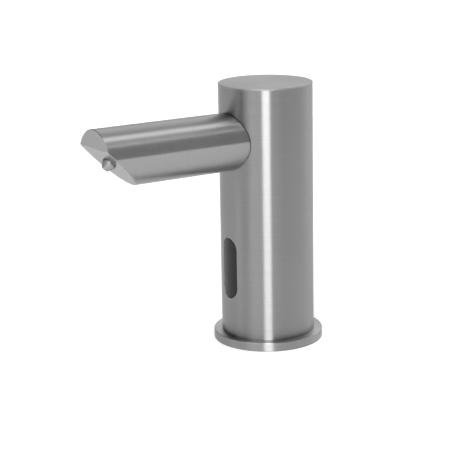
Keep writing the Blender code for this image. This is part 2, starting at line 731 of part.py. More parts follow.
def make_saddle_gasket(bench, rubber):
    """Curved gasket that fills the saddle between the adapter and the body."""
    outer = SADDLE_RADIUS + SADDLE_GASKET_THICKNESS
    disc = bar_mesh("saddle_gasket", ADAPTER_RADIUS, 0, ADAPTER_FRONT, RING_STEPS)
    gasket = bench.piece("saddle_gasket", disc, rubber, spout_frame())
    trim(gasket, body_cylinder(bench, outer))
    carve(
        gasket,
        body_cylinder(bench, SADDLE_RADIUS),
        bar_tool(bench, NIPPLE_HOLE, 0, ADAPTER_FRONT + OVERRUN, spout_frame(), SMALL_STEPS),
    )


def make_saddle_washer(bench, steel):
    """Washer inside the body: curved to the wall in front and flat for the nut behind."""
    disc = bar_mesh(
        "saddle_washer", SADDLE_WASHER_RADIUS, SADDLE_WASHER_REAR, BODY_RADIUS, RING_STEPS
    )
    washer = bench.piece("saddle_washer", disc, steel, spout_frame())
    trim(washer, body_cylinder(bench, BODY_INNER - GAP))
    carve(washer, bar_tool(bench, NIPPLE_HOLE, 0, BODY_RADIUS + OVERRUN, spout_frame(), SMALL_STEPS))


def make_nut(bench, name, corner_radius, start, end, bore, material, place):
    """Hexagon nut along Z."""
    nut = bench.piece(name, hexagon_mesh(name, corner_radius, start, end), material, place)
    hole = bar_tool(bench, bore, start - OVERRUN, end + OVERRUN, place)
    carve(nut, hole)


def make_nozzle(bench, steel):
    """Cone tip with a short land at its base and a shank through the wall, bored through."""
    points = [
        (NOZZLE_TIP_RADIUS - NOZZLE_TIP_CHAMFER, NOZZLE_HEIGHT),
        (NOZZLE_TIP_RADIUS, NOZZLE_HEIGHT - NOZZLE_TIP_CHAMFER),
        (NOZZLE_BASE_RADIUS, GAP + NOZZLE_LAND),
        (NOZZLE_BASE_RADIUS, GAP),
        (NOZZLE_SHANK_RADIUS, GAP),
        (NOZZLE_SHANK_RADIUS, -NOZZLE_SHANK_END),
        (NOZZLE_BORE, -NOZZLE_SHANK_END),
        (NOZZLE_BORE, NOZZLE_HEIGHT),
    ]
    bench.turned("nozzle", points, steel, nozzle_frame(), SMALL_STEPS)


def make_nozzle_washer(bench, rubber):
    """Seal between the slanted wall and the valve, round the nozzle's shank."""
    points = [
        (VALVE_RADIUS, -WASHER_NEAR),
        (VALVE_RADIUS, -WASHER_FAR),
        (NOZZLE_HOLE, -WASHER_FAR),
        (NOZZLE_HOLE, -WASHER_NEAR),
    ]
    bench.turned("nozzle_washer", points, rubber, nozzle_frame(), SMALL_STEPS)


def make_valve_body(bench, plastic):
    """Elbow: one arm takes the nozzle's shank, the other holds spring and ball."""
    arm = bar_mesh("valve_body", VALVE_RADIUS, -ELBOW_DEPTH, -VALVE_MOUTH, SMALL_STEPS)
    valve = bench.piece("valve_body", arm, plastic, nozzle_frame())
    knuckle = sphere_mesh("knuckle", VALVE_RADIUS + ELBOW_KNUCKLE, BORE_STEPS)
    corner = bench.tool(knuckle, valve_frame())
    join(valve, corner, bar_tool(bench, VALVE_RADIUS, 0, VALVE_END, valve_frame(), SMALL_STEPS))
    socket_end = NOZZLE_SHANK_END + GAP
    bend = VALVE_PASSAGE / 2
    carve(
        valve,
        bar_tool(bench, NOZZLE_HOLE, -socket_end, 0, nozzle_frame()),
        bar_tool(bench, VALVE_PASSAGE, -ELBOW_DEPTH - bend, -NOSE_WALL, nozzle_frame(), WIRE_STEPS),
        bar_tool(bench, VALVE_PASSAGE, -bend, VALVE_END, valve_frame(), WIRE_STEPS),
        bar_tool(bench, CHAMBER_RADIUS, VALVE_SHOULDER, VALVE_END + OVERRUN, valve_frame()),
    )


def make_valve_ball(bench, steel):
    """Ball on its seat; it moves forward when soap is pumped."""
    place = valve_frame() @ Matrix.Translation((0, 0, BALL_CENTRE))
    bench.piece("valve_ball", sphere_mesh("valve_ball", BALL_RADIUS, BORE_STEPS), steel, place)


def curve_points(name, points, radius, side_steps):
    """A round bar along points, with closed ends, made as a curve and turned into a mesh."""
    curve = bpy.data.curves.new(name, "CURVE")
    curve.dimensions = "3D"
    curve.bevel_depth = radius
    curve.bevel_resolution = side_steps
    curve.use_fill_caps = True
    line = curve.splines.new("POLY")
    line.points.add(len(points) - 1)
    for spot, point in zip(line.points, points):
        spot.co = (*point, 1.0)
    holder = bpy.data.objects.new(name, curve)
    bpy.context.scene.collection.objects.link(holder)
    bpy.context.view_layer.update()
    ready = holder.evaluated_get(bpy.context.evaluated_depsgraph_get())
    mesh = bpy.data.meshes.new_from_object(ready)
    bpy.data.objects.remove(holder, do_unlink=True)
    bpy.data.curves.remove(curve)
    shape = bmesh.new()
    shape.from_mesh(mesh)
    bmesh.ops.remove_doubles(shape, verts=shape.verts, dist=MERGE)
    shape.to_mesh(mesh)
    shape.free()
    return mesh


def make_valve_spring(bench, steel):
    """Coil from the chamber's shoulder to the ball."""
    count = SPRING_TURNS * SPRING_TURN_STEPS + 1
    share = np.linspace(0, 1, count)
    angle = 2 * pi * SPRING_TURNS * share
    height = SPRING_START + SPRING_LENGTH * share
    across = SPRING_COIL_RADIUS * np.cos(angle)
    upward = SPRING_COIL_RADIUS * np.sin(angle)
    points = np.column_stack((across, upward, height))
    coil = curve_points("valve_spring", points, SPRING_WIRE, SPRING_SIDE_STEPS)
    bench.piece("valve_spring", coil, steel, valve_frame())


def barb_outline(base, step):
    """Points of a hose barb that stands step-wards of its base, from tip to base."""
    ridge_length = BARB_LENGTH / (BARB_RIDGES + 1)
    points = [(BARB_NECK, base + step * BARB_LENGTH)]
    for ridge in range(BARB_RIDGES):
        wide = base + step * (BARB_LENGTH - (ridge + 1) * ridge_length)
        points += [(BARB_RIDGE, wide), (BARB_NECK, wide)]
    points.append((BARB_NECK, base))
    return points


def make_valve_inlet(bench, plastic):
    """Seat for the ball, flange on the valve's end and hose barb behind it."""
    plug = CHAMBER_RADIUS - GAP
    tip = VALVE_FLANGE_REAR + BARB_LENGTH
    points = [
        *barb_outline(VALVE_FLANGE_REAR, 1),
        (VALVE_RADIUS, VALVE_FLANGE_REAR),
        (VALVE_RADIUS, VALVE_FLANGE_FRONT),
        (plug, VALVE_FLANGE_FRONT),
        (plug, SEAT_FACE),
        (SEAT_RADIUS, SEAT_FACE),
        (SEAT_RADIUS, VALVE_FLANGE_FRONT),
        (BARB_BORE, VALVE_FLANGE_FRONT),
        (BARB_BORE, tip),
    ]
    bench.turned("valve_inlet", points, plastic, valve_frame(), BORE_STEPS)


def soap_route():
    """The soap tube's middle line, from the valve to the foot.

    It leaves the barb along the chamber, sweeps down to the spout's axis, passes the nipple,
    turns down over about a quarter circle and ends on the fitting's barb.
    """
    barb_end = ELBOW_REACH - VALVE_FLANGE_REAR - GAP
    sweep_start = barb_end - BARB_LENGTH
    points = [SPOUT_ROOT + SPOUT_OUT * barb_end + SPOUT_UP * ELBOW_RISE]
    for share in np.linspace(0, 1, TUBE_SWEEP_STEPS):
        along = sweep_start + (ADAPTER_FRONT - sweep_start) * share
        above = ELBOW_RISE * (1 + cos(pi * share)) / 2
        points.append(SPOUT_ROOT + SPOUT_OUT * along + SPOUT_UP * above)
    centre_y = INLET_OFFSET - TUBE_BEND
    centre_z = SPOUT_HEIGHT - centre_y * tan(SPOUT_RISE) - TUBE_BEND / cos(SPOUT_RISE)
    for angle in np.linspace(pi / 2 - SPOUT_RISE, 0, TUBE_BEND_STEPS):
        across, height = TUBE_BEND * cos(angle), TUBE_BEND * sin(angle)
        points.append(Vector((0, centre_y + across, centre_z + height)))
    points.append(Vector((0, INLET_OFFSET, CONNECTOR_TOP + GAP)))
    return points


def make_soap_tube(bench, clear):
    """Hollow tube that slips over the two barbs."""
    route = soap_route()
    first = route[0] + SPOUT_OUT * GAP / 2
    last = route[-1] - UP * GAP / 2
    solid = curve_points("soap_tube", route, TUBE_RADIUS, TUBE_SIDE_STEPS)
    tube = bench.piece("soap_tube", solid, clear)
    bore = curve_points("bore", [first, *route[1:-1], last], TUBE_BORE, TUBE_SIDE_STEPS)
    carve(tube, bench.tool(bore))


def make_inlet_connector(bench, plastic):
    """Push-in fitting: mouth for ring and collet below, flange, barrel and barb above."""
    points = [
        *barb_outline(CONNECTOR_TOP, 1),
        (CONNECTOR_BARREL, CONNECTOR_TOP),
        (CONNECTOR_BARREL, CONNECTOR_SHOULDER),
        (CONNECTOR_FLANGE_RADIUS, CONNECTOR_SHOULDER),
        (CONNECTOR_FLANGE_RADIUS, CONNECTOR_BOTTOM),
        (MOUTH_RADIUS, CONNECTOR_BOTTOM),
        (MOUTH_RADIUS, MOUTH_TOP),
        (COLLET_BORE, MOUTH_TOP),
        (COLLET_BORE, HOSE_STOP),
        (BARB_BORE, HOSE_STOP),
        (BARB_BORE, CONNECTOR_TOP + BARB_LENGTH),
    ]
    bench.turned("inlet_connector", points, plastic, inlet_frame(), SMALL_STEPS)


def make_inlet_collet(bench, plastic):
    """Release ring: pressed up into the fitting, it lets the supply hose go."""
    lip = COLLET_RADIUS + COLLET_LIP_WIDTH
    lip_top = COLLET_RECESS + COLLET_LIP
    points = [
        (COLLET_RADIUS, COLLET_TOP),
        (COLLET_RADIUS, lip_top),
        (lip, lip_top),
        (lip, COLLET_RECESS),
        (COLLET_BORE, COLLET_RECESS),
        (COLLET_BORE, COLLET_TOP),
    ]
    bench.turned("inlet_collet", points, plastic, inlet_frame(), SMALL_STEPS)


def make_lead_socket(bench, plastic):
    """Socket in the foot: a cavity with contact holes below, the lead's neck above."""
    points = [
        (0, SOCKET_NECK_TOP),
        (SOCKET_NECK_RADIUS, SOCKET_NECK_TOP),
        (SOCKET_NECK_RADIUS, SOCKET_TOP),
        (SOCKET_BARREL_RADIUS, SOCKET_TOP),
        (SOCKET_BARREL_RADIUS, SOCKET_SHOULDER),
        (SOCKET_FLANGE_RADIUS, SOCKET_SHOULDER),
        (SOCKET_FLANGE_RADIUS, SOCKET_RECESS),
        (SOCKET_CAVITY_RADIUS, SOCKET_RECESS),
        (SOCKET_CAVITY_RADIUS, SOCKET_FACE),
        (0, SOCKET_FACE),
    ]
    place = socket_frame()
    socket = bench.turned("lead_socket", points, plastic, place, SMALL_STEPS, closed=False)
    carve(socket, bar_tool(bench, LEAD_HOLE, LEAD_BOTTOM - GAP, SOCKET_NECK_TOP + OVERRUN, place))
    for index in range(CONTACT_COUNT):
        angle = 2 * pi * index / CONTACT_COUNT + pi / 2
        spot = (CONTACT_CIRCLE * cos(angle), CONTACT_CIRCLE * sin(angle), SOCKET_FACE)
        hole = bar_mesh("contact", CONTACT_RADIUS, -SOCKET_CAVITY_DEPTH / 2, CONTACT_DEPTH, 8)
        carve(socket, bench.tool(hole, place @ Matrix.Translation(spot)))


def make_sensor_window(bench, smoked):
    """Smoked lens: a slot-shaped front that follows the tube and a wider flange behind it."""
    front = BODY_RADIUS - WINDOW_RECESS
    plug = stadium_mesh(
        "sensor_window",
        WINDOW_HALF_WIDTH - GAP,
        WINDOW_HALF_HEIGHT - GAP,
        WINDOW_FLANGE_REAR + GAP,
        BODY_RADIUS + OVERRUN,
    )
    window = bench.piece("sensor_window", plug, smoked, window_frame())
    trim(window, body_cylinder(bench, front))
    flange = bench.tool(
        stadium_mesh(
            "flange",
            WINDOW_FLANGE_HALF_WIDTH,
            WINDOW_FLANGE_HALF_HEIGHT,
            WINDOW_FLANGE_REAR,
            BODY_RADIUS + OVERRUN,
        ),
        window_frame(),
    )
    trim(flange, body_cylinder(bench, WINDOW_FLANGE_RADIUS))
    join(window, flange)


def make_window_gasket(bench, rubber):
    """Curved slot-shaped ring between the window's flange and the tube's wall."""
    plate = stadium_mesh(
        "window_gasket",
        WINDOW_FLANGE_HALF_WIDTH,
        WINDOW_FLANGE_HALF_HEIGHT,
        WINDOW_FLANGE_REAR,
        BODY_RADIUS + OVERRUN,
    )
    gasket = bench.piece("window_gasket", plate, rubber, window_frame())
    trim(gasket, body_cylinder(bench, GASKET_OUTER))
    slot = stadium_mesh("slot", WINDOW_HALF_WIDTH, WINDOW_HALF_HEIGHT, 0, BODY_RADIUS + 2 * OVERRUN)
    carve(gasket, body_cylinder(bench, GASKET_INNER), bench.tool(slot, window_frame()))


def make_sensor_housing(bench, plastic):
    """Case: a deep front for board and optics, a ledge for the board and a narrower rear."""
    wide, tall = HOUSING_HALF_WIDTH, HOUSING_HALF_HEIGHT
    block = box_mesh("sensor_housing", (-wide, -tall, HOUSING_REAR), (wide, tall, HOUSING_FRONT))
    housing = bench.piece("sensor_housing", block, plastic, window_frame())
    add_bevel(housing, HOUSING_EDGE, 2)
    wide, tall = CAVITY_HALF_WIDTH, CAVITY_HALF_HEIGHT
    front = box_mesh("front", (-wide, -tall, LEDGE_FACE), (wide, tall, HOUSING_FRONT + OVERRUN))
    wide, tall = LEDGE_HALF_WIDTH, LEDGE_HALF_HEIGHT
    rear = box_mesh("rear", (-wide, -tall, HOUSING_REAR - OVERRUN), (wide, tall, HOUSING_FRONT))
    carve(housing, bench.tool(front, window_frame()), bench.tool(rear, window_frame()))
    lead = facing(Vector((0, -PLUG_MIDDLE, HOUSING_BOTTOM)), UP)
    carve(housing, bar_tool(bench, LEAD_HOLE + GAP, -OVERRUN, OVERRUN, lead, WIRE_STEPS))
    for side in (-1, 1):
        carve(housing, screw_hole(bench, side))


def screw_place(side):
    """Where a case screw stands: Z runs forward through bracket, cover and case."""
    return window_frame() @ Matrix.Translation((side * HOUSING_SCREW_OFFSET, 0, 0))


def screw_hole(bench, side):
    """A hole through bracket and cover, whose blind end lies in the case."""
    deep = HOUSING_REAR + HOUSING_SCREW_DEPTH + GAP
    return bar_tool(bench, SCREW_HOLE_RADIUS, BRACKET_REAR - OVERRUN, deep, screw_place(side), WIRE_STEPS)


def make_housing_cover(bench, plastic):
    """Back of the case."""
    wide, tall = HOUSING_HALF_WIDTH, HOUSING_HALF_HEIGHT
    plate = box_mesh("housing_cover", (-wide, -tall, COVER_REAR), (wide, tall, COVER_FRONT))
    cover = bench.piece("housing_cover", plate, plastic, window_frame())
    add_bevel(cover, COVER_THICKNESS / 4)
    for side in (-1, 1):
        carve(cover, screw_hole(bench, side))


def make_sensor_board(bench, green):
    """Circuit board on the case's ledge, with two chips on its rear."""
    wide, tall = CAVITY_HALF_WIDTH - GAP, CAVITY_HALF_HEIGHT - GAP
    plate = box_mesh("sensor_board", (-wide, -tall, BOARD_REAR), (wide, tall, BOARD_FRONT))
    board = bench.piece("sensor_board", plate, green, window_frame())
    half = CHIP_SIZE / 2
    for height in (0, CHIP_OFFSET):
        low = (-half, height - half, BOARD_REAR - CHIP_RISE)
        high = (half, height + half, BOARD_REAR + BOARD_THICKNESS / 2)
        join(board, bench.tool(box_mesh("chip", low, high), window_frame()))


def make_optic(bench, name, rise, material):
    """A round optical part on the board: a flat base, a barrel and a domed front."""
    base_radius = OPTIC_RADIUS + OPTIC_BASE_WIDTH
    points = [(0, OPTIC_LENGTH)]
    for step in range(1, DOME_STEPS + 1):
        angle = pi / 2 * step / DOME_STEPS
        dome = OPTIC_LENGTH - OPTIC_RADIUS + OPTIC_RADIUS * cos(angle)
        points.append((OPTIC_RADIUS * sin(angle), dome))
    points += [
        (OPTIC_RADIUS, OPTIC_BASE),
        (base_radius, OPTIC_BASE),
        (base_radius, 0),
        (0, 0),
    ]
    place = window_frame() @ Matrix.Translation((0, rise, BOARD_FRONT + GAP))
    bench.turned(name, points, material, place, BORE_STEPS, closed=False)


def make_board_plug(bench, plastic):
    """Plug on the board's rear, with the lead entering from below."""
    low = (-PLUG_HALF_WIDTH, -PLUG_FRONT, PLUG_BOTTOM)
    high = (PLUG_HALF_WIDTH, -PLUG_FRONT + PLUG_DEPTH, PLUG_BOTTOM + PLUG_HEIGHT)
    plug = bench.piece("board_plug", box_mesh("board_plug", low, high), plastic)
    place = facing(Vector((0, -PLUG_MIDDLE, PLUG_BOTTOM)), UP)
    carve(plug, bar_tool(bench, LEAD_HOLE, -OVERRUN, PLUG_LEAD_DEPTH, place, WIRE_STEPS))


def make_sensor_lead(bench, jacket):
    """Lead from the socket up into the case, with one easy sweep between the two."""
    points = [(0, -SOCKET_OFFSET, LEAD_BOTTOM)]
    low, high = SOCKET_NECK_TOP, HOUSING_BOTTOM
    for share in np.linspace(0, 1, LEAD_STEPS):
        ease = (1 - cos(pi * share)) / 2
        across = -SOCKET_OFFSET + (SOCKET_OFFSET - PLUG_MIDDLE) * ease
        points.append((0, across, low + (high - low) * share))
    points.append((0, -PLUG_MIDDLE, LEAD_TOP))
    bench.piece("sensor_lead", curve_points("sensor_lead", points, LEAD_RADIUS, LEAD_SIDE_STEPS), jacket)


def make_sensor_bracket(bench, steel):
    """T-shaped strap: a strip across the spigot and an upright behind the case."""
    low = (-BODY_RADIUS, -STRIP_FRONT, STRIP_BOTTOM)
    high = (BODY_RADIUS, -STRIP_REAR, STRIP_TOP)
    strap = bench.piece("sensor_bracket", box_mesh("sensor_bracket", low, high), steel)
    upright = box_mesh(
        "upright",
        (-BRACKET_HALF_WIDTH, -BRACKET_FRONT, STRIP_BOTTOM + BRACKET_THICKNESS / 2),
        (BRACKET_HALF_WIDTH, -BRACKET_REAR, WINDOW_HEIGHT + BRACKET_RISE),
    )
    join(strap, bench.tool(upright))
    trim(strap, body_cylinder(bench, BODY_INNER - BRACKET_WALL_GAP))
    for side in (-1, 1):
        foot = Matrix.Translation((side * BRACKET_SCREW_OFFSET, -STRIP_MIDDLE, STRIP_BOTTOM))
        carve(
            strap,
            bar_tool(bench, SCREW_HOLE_RADIUS, -OVERRUN, OVERRUN, foot, WIRE_STEPS),
            screw_hole(bench, side),
        )


def make_small_screw(bench, name, length, steel, place):
    """Screw with a round head at Z = 0 and up, a shank below it and a hexagon recess."""
    edge = SMALL_SCREW_HEAD / 3
    points = [
        (0, SMALL_SCREW_HEAD),
        (SMALL_SCREW_HEAD_RADIUS - edge, SMALL_SCREW_HEAD),
        (SMALL_SCREW_HEAD_RADIUS, SMALL_SCREW_HEAD - edge),
        (SMALL_SCREW_HEAD_RADIUS, 0),
        (SMALL_SCREW_RADIUS, 0),
        (SMALL_SCREW_RADIUS, -length),
        (0, -length),
    ]
    screw = bench.turned(name, points, steel, place, WIRE_STEPS, closed=False)
    deep = SMALL_SCREW_HEAD - SMALL_SCREW_KEY_DEPTH
    key = hexagon_mesh("key", SMALL_SCREW_KEY_RADIUS, deep, SMALL_SCREW_HEAD + OVERRUN)
    carve(screw, bench.tool(key, place))


def make_small_screws(bench, steel):
    """Two screws hold the case on the bracket and two hold the bracket on the foot."""
    for side, word in ((-1, "left"), (1, "right")):
        back = BRACKET_REAR - GAP
        head = Vector((side * HOUSING_SCREW_OFFSET, -back, WINDOW_HEIGHT))
        length = HOUSING_REAR + HOUSING_SCREW_DEPTH - back
        make_small_screw(bench, f"housing_screw_{word}", length, steel, facing(head, -FORWARD))
        top = Vector((side * BRACKET_SCREW_OFFSET, -STRIP_MIDDLE, STRIP_TOP + GAP))
        length = STRIP_TOP + GAP - SPIGOT_TOP + BRACKET_SCREW_DEPTH
        make_small_screw(bench, f"bracket_screw_{word}", length, steel, facing(top, UP))


def settle(bench):
    """Turn each sub-part's modifiers into its mesh, and shade round faces smooth."""
    bpy.context.view_layer.update()
    graph = bpy.context.evaluated_depsgraph_get()
    ready = {}
    for made in bench.pieces.objects:
        ready[made] = bpy.data.meshes.new_from_object(made.evaluated_get(graph))
    for made, mesh in ready.items():
        made.modifiers.clear()
        made.data = mesh
        mesh.name = made.name
        mesh.shade_smooth()
        mesh.set_sharp_from_angle(angle=SHARP_ANGLE)


def main():
    clear_scene()
    bench = Bench()
    brushed = finish("brushed_steel", (0.36, 0.36, 0.36), 0.32, 1.0)
    turned = finish("turned_steel", (0.42, 0.42, 0.42), 0.28, 1.0)
    spring = finish("spring_steel", (0.50, 0.50, 0.51), 0.22, 1.0)
    brass = finish("plated_brass", (0.62, 0.55, 0.36), 0.30, 1.0)
    rubber = finish("black_rubber", (0.03, 0.03, 0.03), 0.70)
    plastic = finish("white_plastic", (0.72, 0.72, 0.70), 0.45)
    casing = finish("black_plastic", (0.04, 0.04, 0.045), 0.50)
    smoked = finish("smoked_window", (0.05, 0.05, 0.055), 0.12)
    board = finish("green_board", (0.03, 0.20, 0.09), 0.40)
    clear = finish("clear_tube", (0.75, 0.78, 0.78), 0.20)
    jacket = finish("lead_jacket", (0.06, 0.06, 0.06), 0.55)
    emitter = finish("emitter_resin", (0.45, 0.50, 0.62), 0.10)
    receiver = finish("receiver_resin", (0.05, 0.03, 0.05), 0.10)

    make_base_flange(bench, brushed)
    make_deck_seal(bench, rubber)
    make_ring(bench, "body_o_ring", RING_RADIUS, RING_SECTION, SPIGOT_RING_HEIGHT, rubber)
    make_set_screw(bench, turned)
    make_body_tube(bench, brushed)
    make_top_cap(bench, brushed)
    make_ring(bench, "cap_o_ring", RING_RADIUS, RING_SECTION, LID_RING_HEIGHT, rubber)

    make_spout_body(bench, brushed)
    make_spout_adapter(bench, turned)
    make_saddle_gasket(bench, rubber)
    make_saddle_washer(bench, turned)
    make_nut(
        bench,
        "spout_nut",
        SPOUT_NUT_RADIUS,
        SPOUT_NUT_REAR,
        SPOUT_NUT_FRONT,
        NIPPLE_HOLE,
        brass,
        spout_frame(),
    )

    make_nozzle(bench, turned)
    make_nozzle_washer(bench, rubber)
    make_valve_body(bench, plastic)
    make_valve_ball(bench, spring)
    make_valve_spring(bench, spring)
    make_valve_inlet(bench, plastic)
    make_soap_tube(bench, clear)

    make_inlet_connector(bench, casing)
    make_inlet_collet(bench, plastic)
    make_ring(
        bench,
        "inlet_o_ring",
        INLET_RING_RADIUS,
        INLET_RING_SECTION,
        INLET_RING_HEIGHT,
        rubber,
        inlet_frame(),
    )
    make_nut(
        bench,
        "connector_nut",
        CONNECTOR_NUT_RADIUS,
        CONNECTOR_NUT_BOTTOM,
        CONNECTOR_NUT_BOTTOM + CONNECTOR_NUT_HEIGHT,
        CONNECTOR_BARREL + GAP,
        brass,
        inlet_frame(),
    )
    make_lead_socket(bench, casing)
    make_nut(
        bench,
        "socket_nut",
        SOCKET_NUT_RADIUS,
        SOCKET_NUT_BOTTOM,
        SOCKET_NUT_BOTTOM + SOCKET_NUT_HEIGHT,
        SOCKET_BARREL_RADIUS + GAP,
        brass,
        socket_frame(),
    )

    make_sensor_window(bench, smoked)
    make_window_gasket(bench, rubber)
    make_sensor_housing(bench, casing)
    make_sensor_board(bench, board)
    make_optic(bench, "ir_emitter", OPTIC_OFFSET, emitter)
    make_optic(bench, "ir_receiver", -OPTIC_OFFSET, receiver)
    make_board_plug(bench, plastic)
    make_sensor_lead(bench, jacket)
    make_housing_cover(bench, casing)
    make_sensor_bracket(bench, turned)
    make_small_screws(bench, turned)
    settle(bench)


main()
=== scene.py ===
"""Dressed model of the touch-free soap dispenser head, in the frame of its CAD solids.

Run as a script: every piece below is worked out with numpy in metres, rides on a CAD body and
gets a procedural finish. The stage is a pale floor, soft lamps and the camera.
"""

import bpy
import numpy as np
from math import acos, cos, pi, radians, sin, sqrt
from mathutils import Matrix, Vector


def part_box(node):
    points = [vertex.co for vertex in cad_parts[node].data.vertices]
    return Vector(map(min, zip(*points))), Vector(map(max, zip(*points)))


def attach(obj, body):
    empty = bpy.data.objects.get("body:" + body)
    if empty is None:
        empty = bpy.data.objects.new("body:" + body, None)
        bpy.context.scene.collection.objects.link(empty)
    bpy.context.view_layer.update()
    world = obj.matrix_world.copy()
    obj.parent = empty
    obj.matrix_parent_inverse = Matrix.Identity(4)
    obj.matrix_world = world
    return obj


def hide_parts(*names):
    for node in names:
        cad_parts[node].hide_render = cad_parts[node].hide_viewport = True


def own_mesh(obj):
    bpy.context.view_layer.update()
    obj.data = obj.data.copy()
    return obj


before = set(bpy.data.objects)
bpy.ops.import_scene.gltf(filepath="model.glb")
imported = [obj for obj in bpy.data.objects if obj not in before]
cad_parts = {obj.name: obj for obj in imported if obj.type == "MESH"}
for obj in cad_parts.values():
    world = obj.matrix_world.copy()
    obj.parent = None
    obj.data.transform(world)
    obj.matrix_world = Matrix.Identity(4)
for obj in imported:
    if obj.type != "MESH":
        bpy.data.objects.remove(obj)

bl_info = {
    "name": "Soap Dispenser Head",
    "version": (1, 0, 0),
    "blender": (4, 5, 0),
    "location": "View3D > Sidebar > Dispenser",
    "description": "Builds the visible pieces, finishes and stage of a soap dispenser head",
    "category": "Add Mesh",
}

# Steps of the curved surfaces
ROUND_STEPS = 240
FLOOR_STEPS = 128
SMALL_STEPS = 96
BALL_STEPS = 64
WINDOW_STEPS = 48
NOSE_STEPS = 40
COIL_STEPS = 36
PIN_STEPS = 24
WIRE_STEPS = 16
PATCH_STEPS = 8
FILLET_STEPS = 5

# Reach of a weld, least length of a vector, largest cosine of a corner, angle of a sharp edge
WELD, TINY, STRAIGHT, SHARP_ANGLE = 1e-7, 1e-12, 0.9999, radians(32)
UV_NAME = "surface"

# Rows of the upright tube between two holes, beside a hole and at the top, and a row's height
PLAIN_ROWS, HOLE_ROWS, TOP_ROWS = 2, 8, 3
ROW_HEIGHT = 0.001

# Roundings of the turned edges, from the sharpest
HAIR, FINE, SMALL, SOFT, ROUND = 0.00003, 0.0001, 0.0002, 0.0003, 0.0004

# Play of a spigot in its bore, a sealing ring's groove, and how far a cutter runs past a face
PLAY = 0.0003
GROOVE_DEPTH, GROOVE_HALF = 0.0018, 0.001
OVERRUN = 0.004

# Radii of the holes for the lock screw, the spout's nipple and the nozzle's shank
SCREW_HOLE, NIPPLE_HOLE, SHANK_HOLE = 0.002, 0.0073, 0.0027

# Turn of a cutter's first corner for each metre of its radius, and brushed lines in a metre
CUTTER_TURN = 110.0
BRUSHING = 1600.0


def middle(node):
    low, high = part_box(node)
    return (Vector(low) + Vector(high)) / 2


# Places that the solids give
INLET_PLACE = middle("inlet_collet").y
SOCKET_PLACE = middle("lead_socket").y
SCREW_HEIGHT = middle("body_set_screw").z

# Holes in the foot's underside: radius, depth and place (x, y)
FOOT_HOLES = (
    (0.00555, 0.012, 0, INLET_PLACE), (0.00705, 0.0044, 0, INLET_PLACE),
    (0.0048, 0.012, 0, SOCKET_PLACE), (0.0061, 0.0029, 0, SOCKET_PLACE),
    (0.0025, 0.0062, 0.0135, 0), (0.0025, 0.0062, -0.0135, 0),
)

# Directions, also of the spout and its slanted nose
SIDE, BACK, UP = Vector((1, 0, 0)), Vector((0, 1, 0)), Vector((0, 0, 1))
SPOUT_RISE = radians(0.63)
SPOUT_OUT = Vector((0, -cos(SPOUT_RISE), sin(SPOUT_RISE)))
SPOUT_UP = Vector((0, sin(SPOUT_RISE), cos(SPOUT_RISE)))
NOSE_OUT = (SPOUT_OUT - SPOUT_UP) / sqrt(2)
NOSE_DOWN = -(SPOUT_OUT + SPOUT_UP) / sqrt(2)

# View of the photograph: place and axes of the camera, and its focal length in image widths
CAMERA_PLACE = Vector((0.62965, -0.44331, 0.26105))
CAMERA_RIGHT = Vector((0.55597, 0.83099, -0.01849))
CAMERA_UP = Vector((-0.19845, 0.15431, 0.96789))
CAMERA_AXES = Matrix((CAMERA_RIGHT, CAMERA_UP, CAMERA_RIGHT.cross(CAMERA_UP))).transposed()
CAMERA_MATRIX = Matrix.Translation(CAMERA_PLACE) @ CAMERA_AXES.to_4x4()
CAMERA_FOCUS = 3.266217


def length(name, value, about):
    return bpy.props.FloatProperty(
        name=name, default=value, min=0.0, unit="LENGTH", precision=5, description=about
    )


def share(name, value, about, top=1.0):
    return bpy.props.FloatProperty(name=name, default=value, min=0.0, max=top, description=about)


def colour(name, value, about):
    return bpy.props.FloatVectorProperty(
        name=name, default=value, size=3, min=0.0, max=1.0, subtype="COLOR", description=about
    )


class HeadSizes(bpy.types.PropertyGroup):
    """Lengths of the visible pieces."""

    body_radius: length("Body radius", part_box("body_tube")[1][0], "Outer radius of the tube")
    body_wall: length("Body wall", 0.0015, "Wall of the tube")
    body_height: length("Height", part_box("top_cap")[1][2], "Height over the worktop")
    seam: length("Seam", 0.00003, "Gap between two turned pieces")
    edge: length("Edge rounding", 0.00006, "Rounding of the tube's edges")
    flange_radius: length("Flange radius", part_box("base_flange")[1][0], "Outer radius of the foot")
    flange_height: length("Flange height", 0.00485, "Height of the foot's flange")
    lid_rim: length("Lid rim", 0.0008, "Visible height of the lid")
    spout_radius: length("Spout radius", 0.01525, "Outer radius of the spout")
    spout_wall: length("Spout wall", 0.0015, "Wall of the spout")
    spout_drop: length("Spout drop", 0.02936, "From the top down to the spout's axis")
    spout_reach: length("Spout reach", 0.1037, "From the tube's axis to the upright end face")
    nose_rise: length("Nose rise", 0.00577, "From the spout's axis up to the slanted face")
    nose_wall: length("Nose wall", 0.003, "Wall behind the end faces")
    nose_edge: length("Nose edge", 0.0005, "Rounding of the nose's edges")
    joint_gap: length("Joint gap", 0.00015, "Gap between the spout and the tube")
    joint_width: length("Joint width", 0.00045, "Width of the dark seal in the joint")
    joint_depth: length("Joint depth", 0.0003, "Depth of that seal below the spout's skin")
    nozzle_drop: length("Nozzle drop", 0.01205, "Down the slanted face to the nozzle's axis")
    nozzle_height: length("Nozzle height", 0.0038, "Height of the nozzle's cone")
    nozzle_base: length("Nozzle base", 0.0037, "Radius of the cone's base")
    nozzle_tip: length("Nozzle tip", 0.0019, "Radius of the cone's tip")
    window_height: length("Window height", 0.0421, "Height of the window's middle")
    window_half_height: length("Window half height", 0.0165, "Half the height of its slot")
    window_half_width: length("Window half width", 0.00615, "Half the width of its slot")


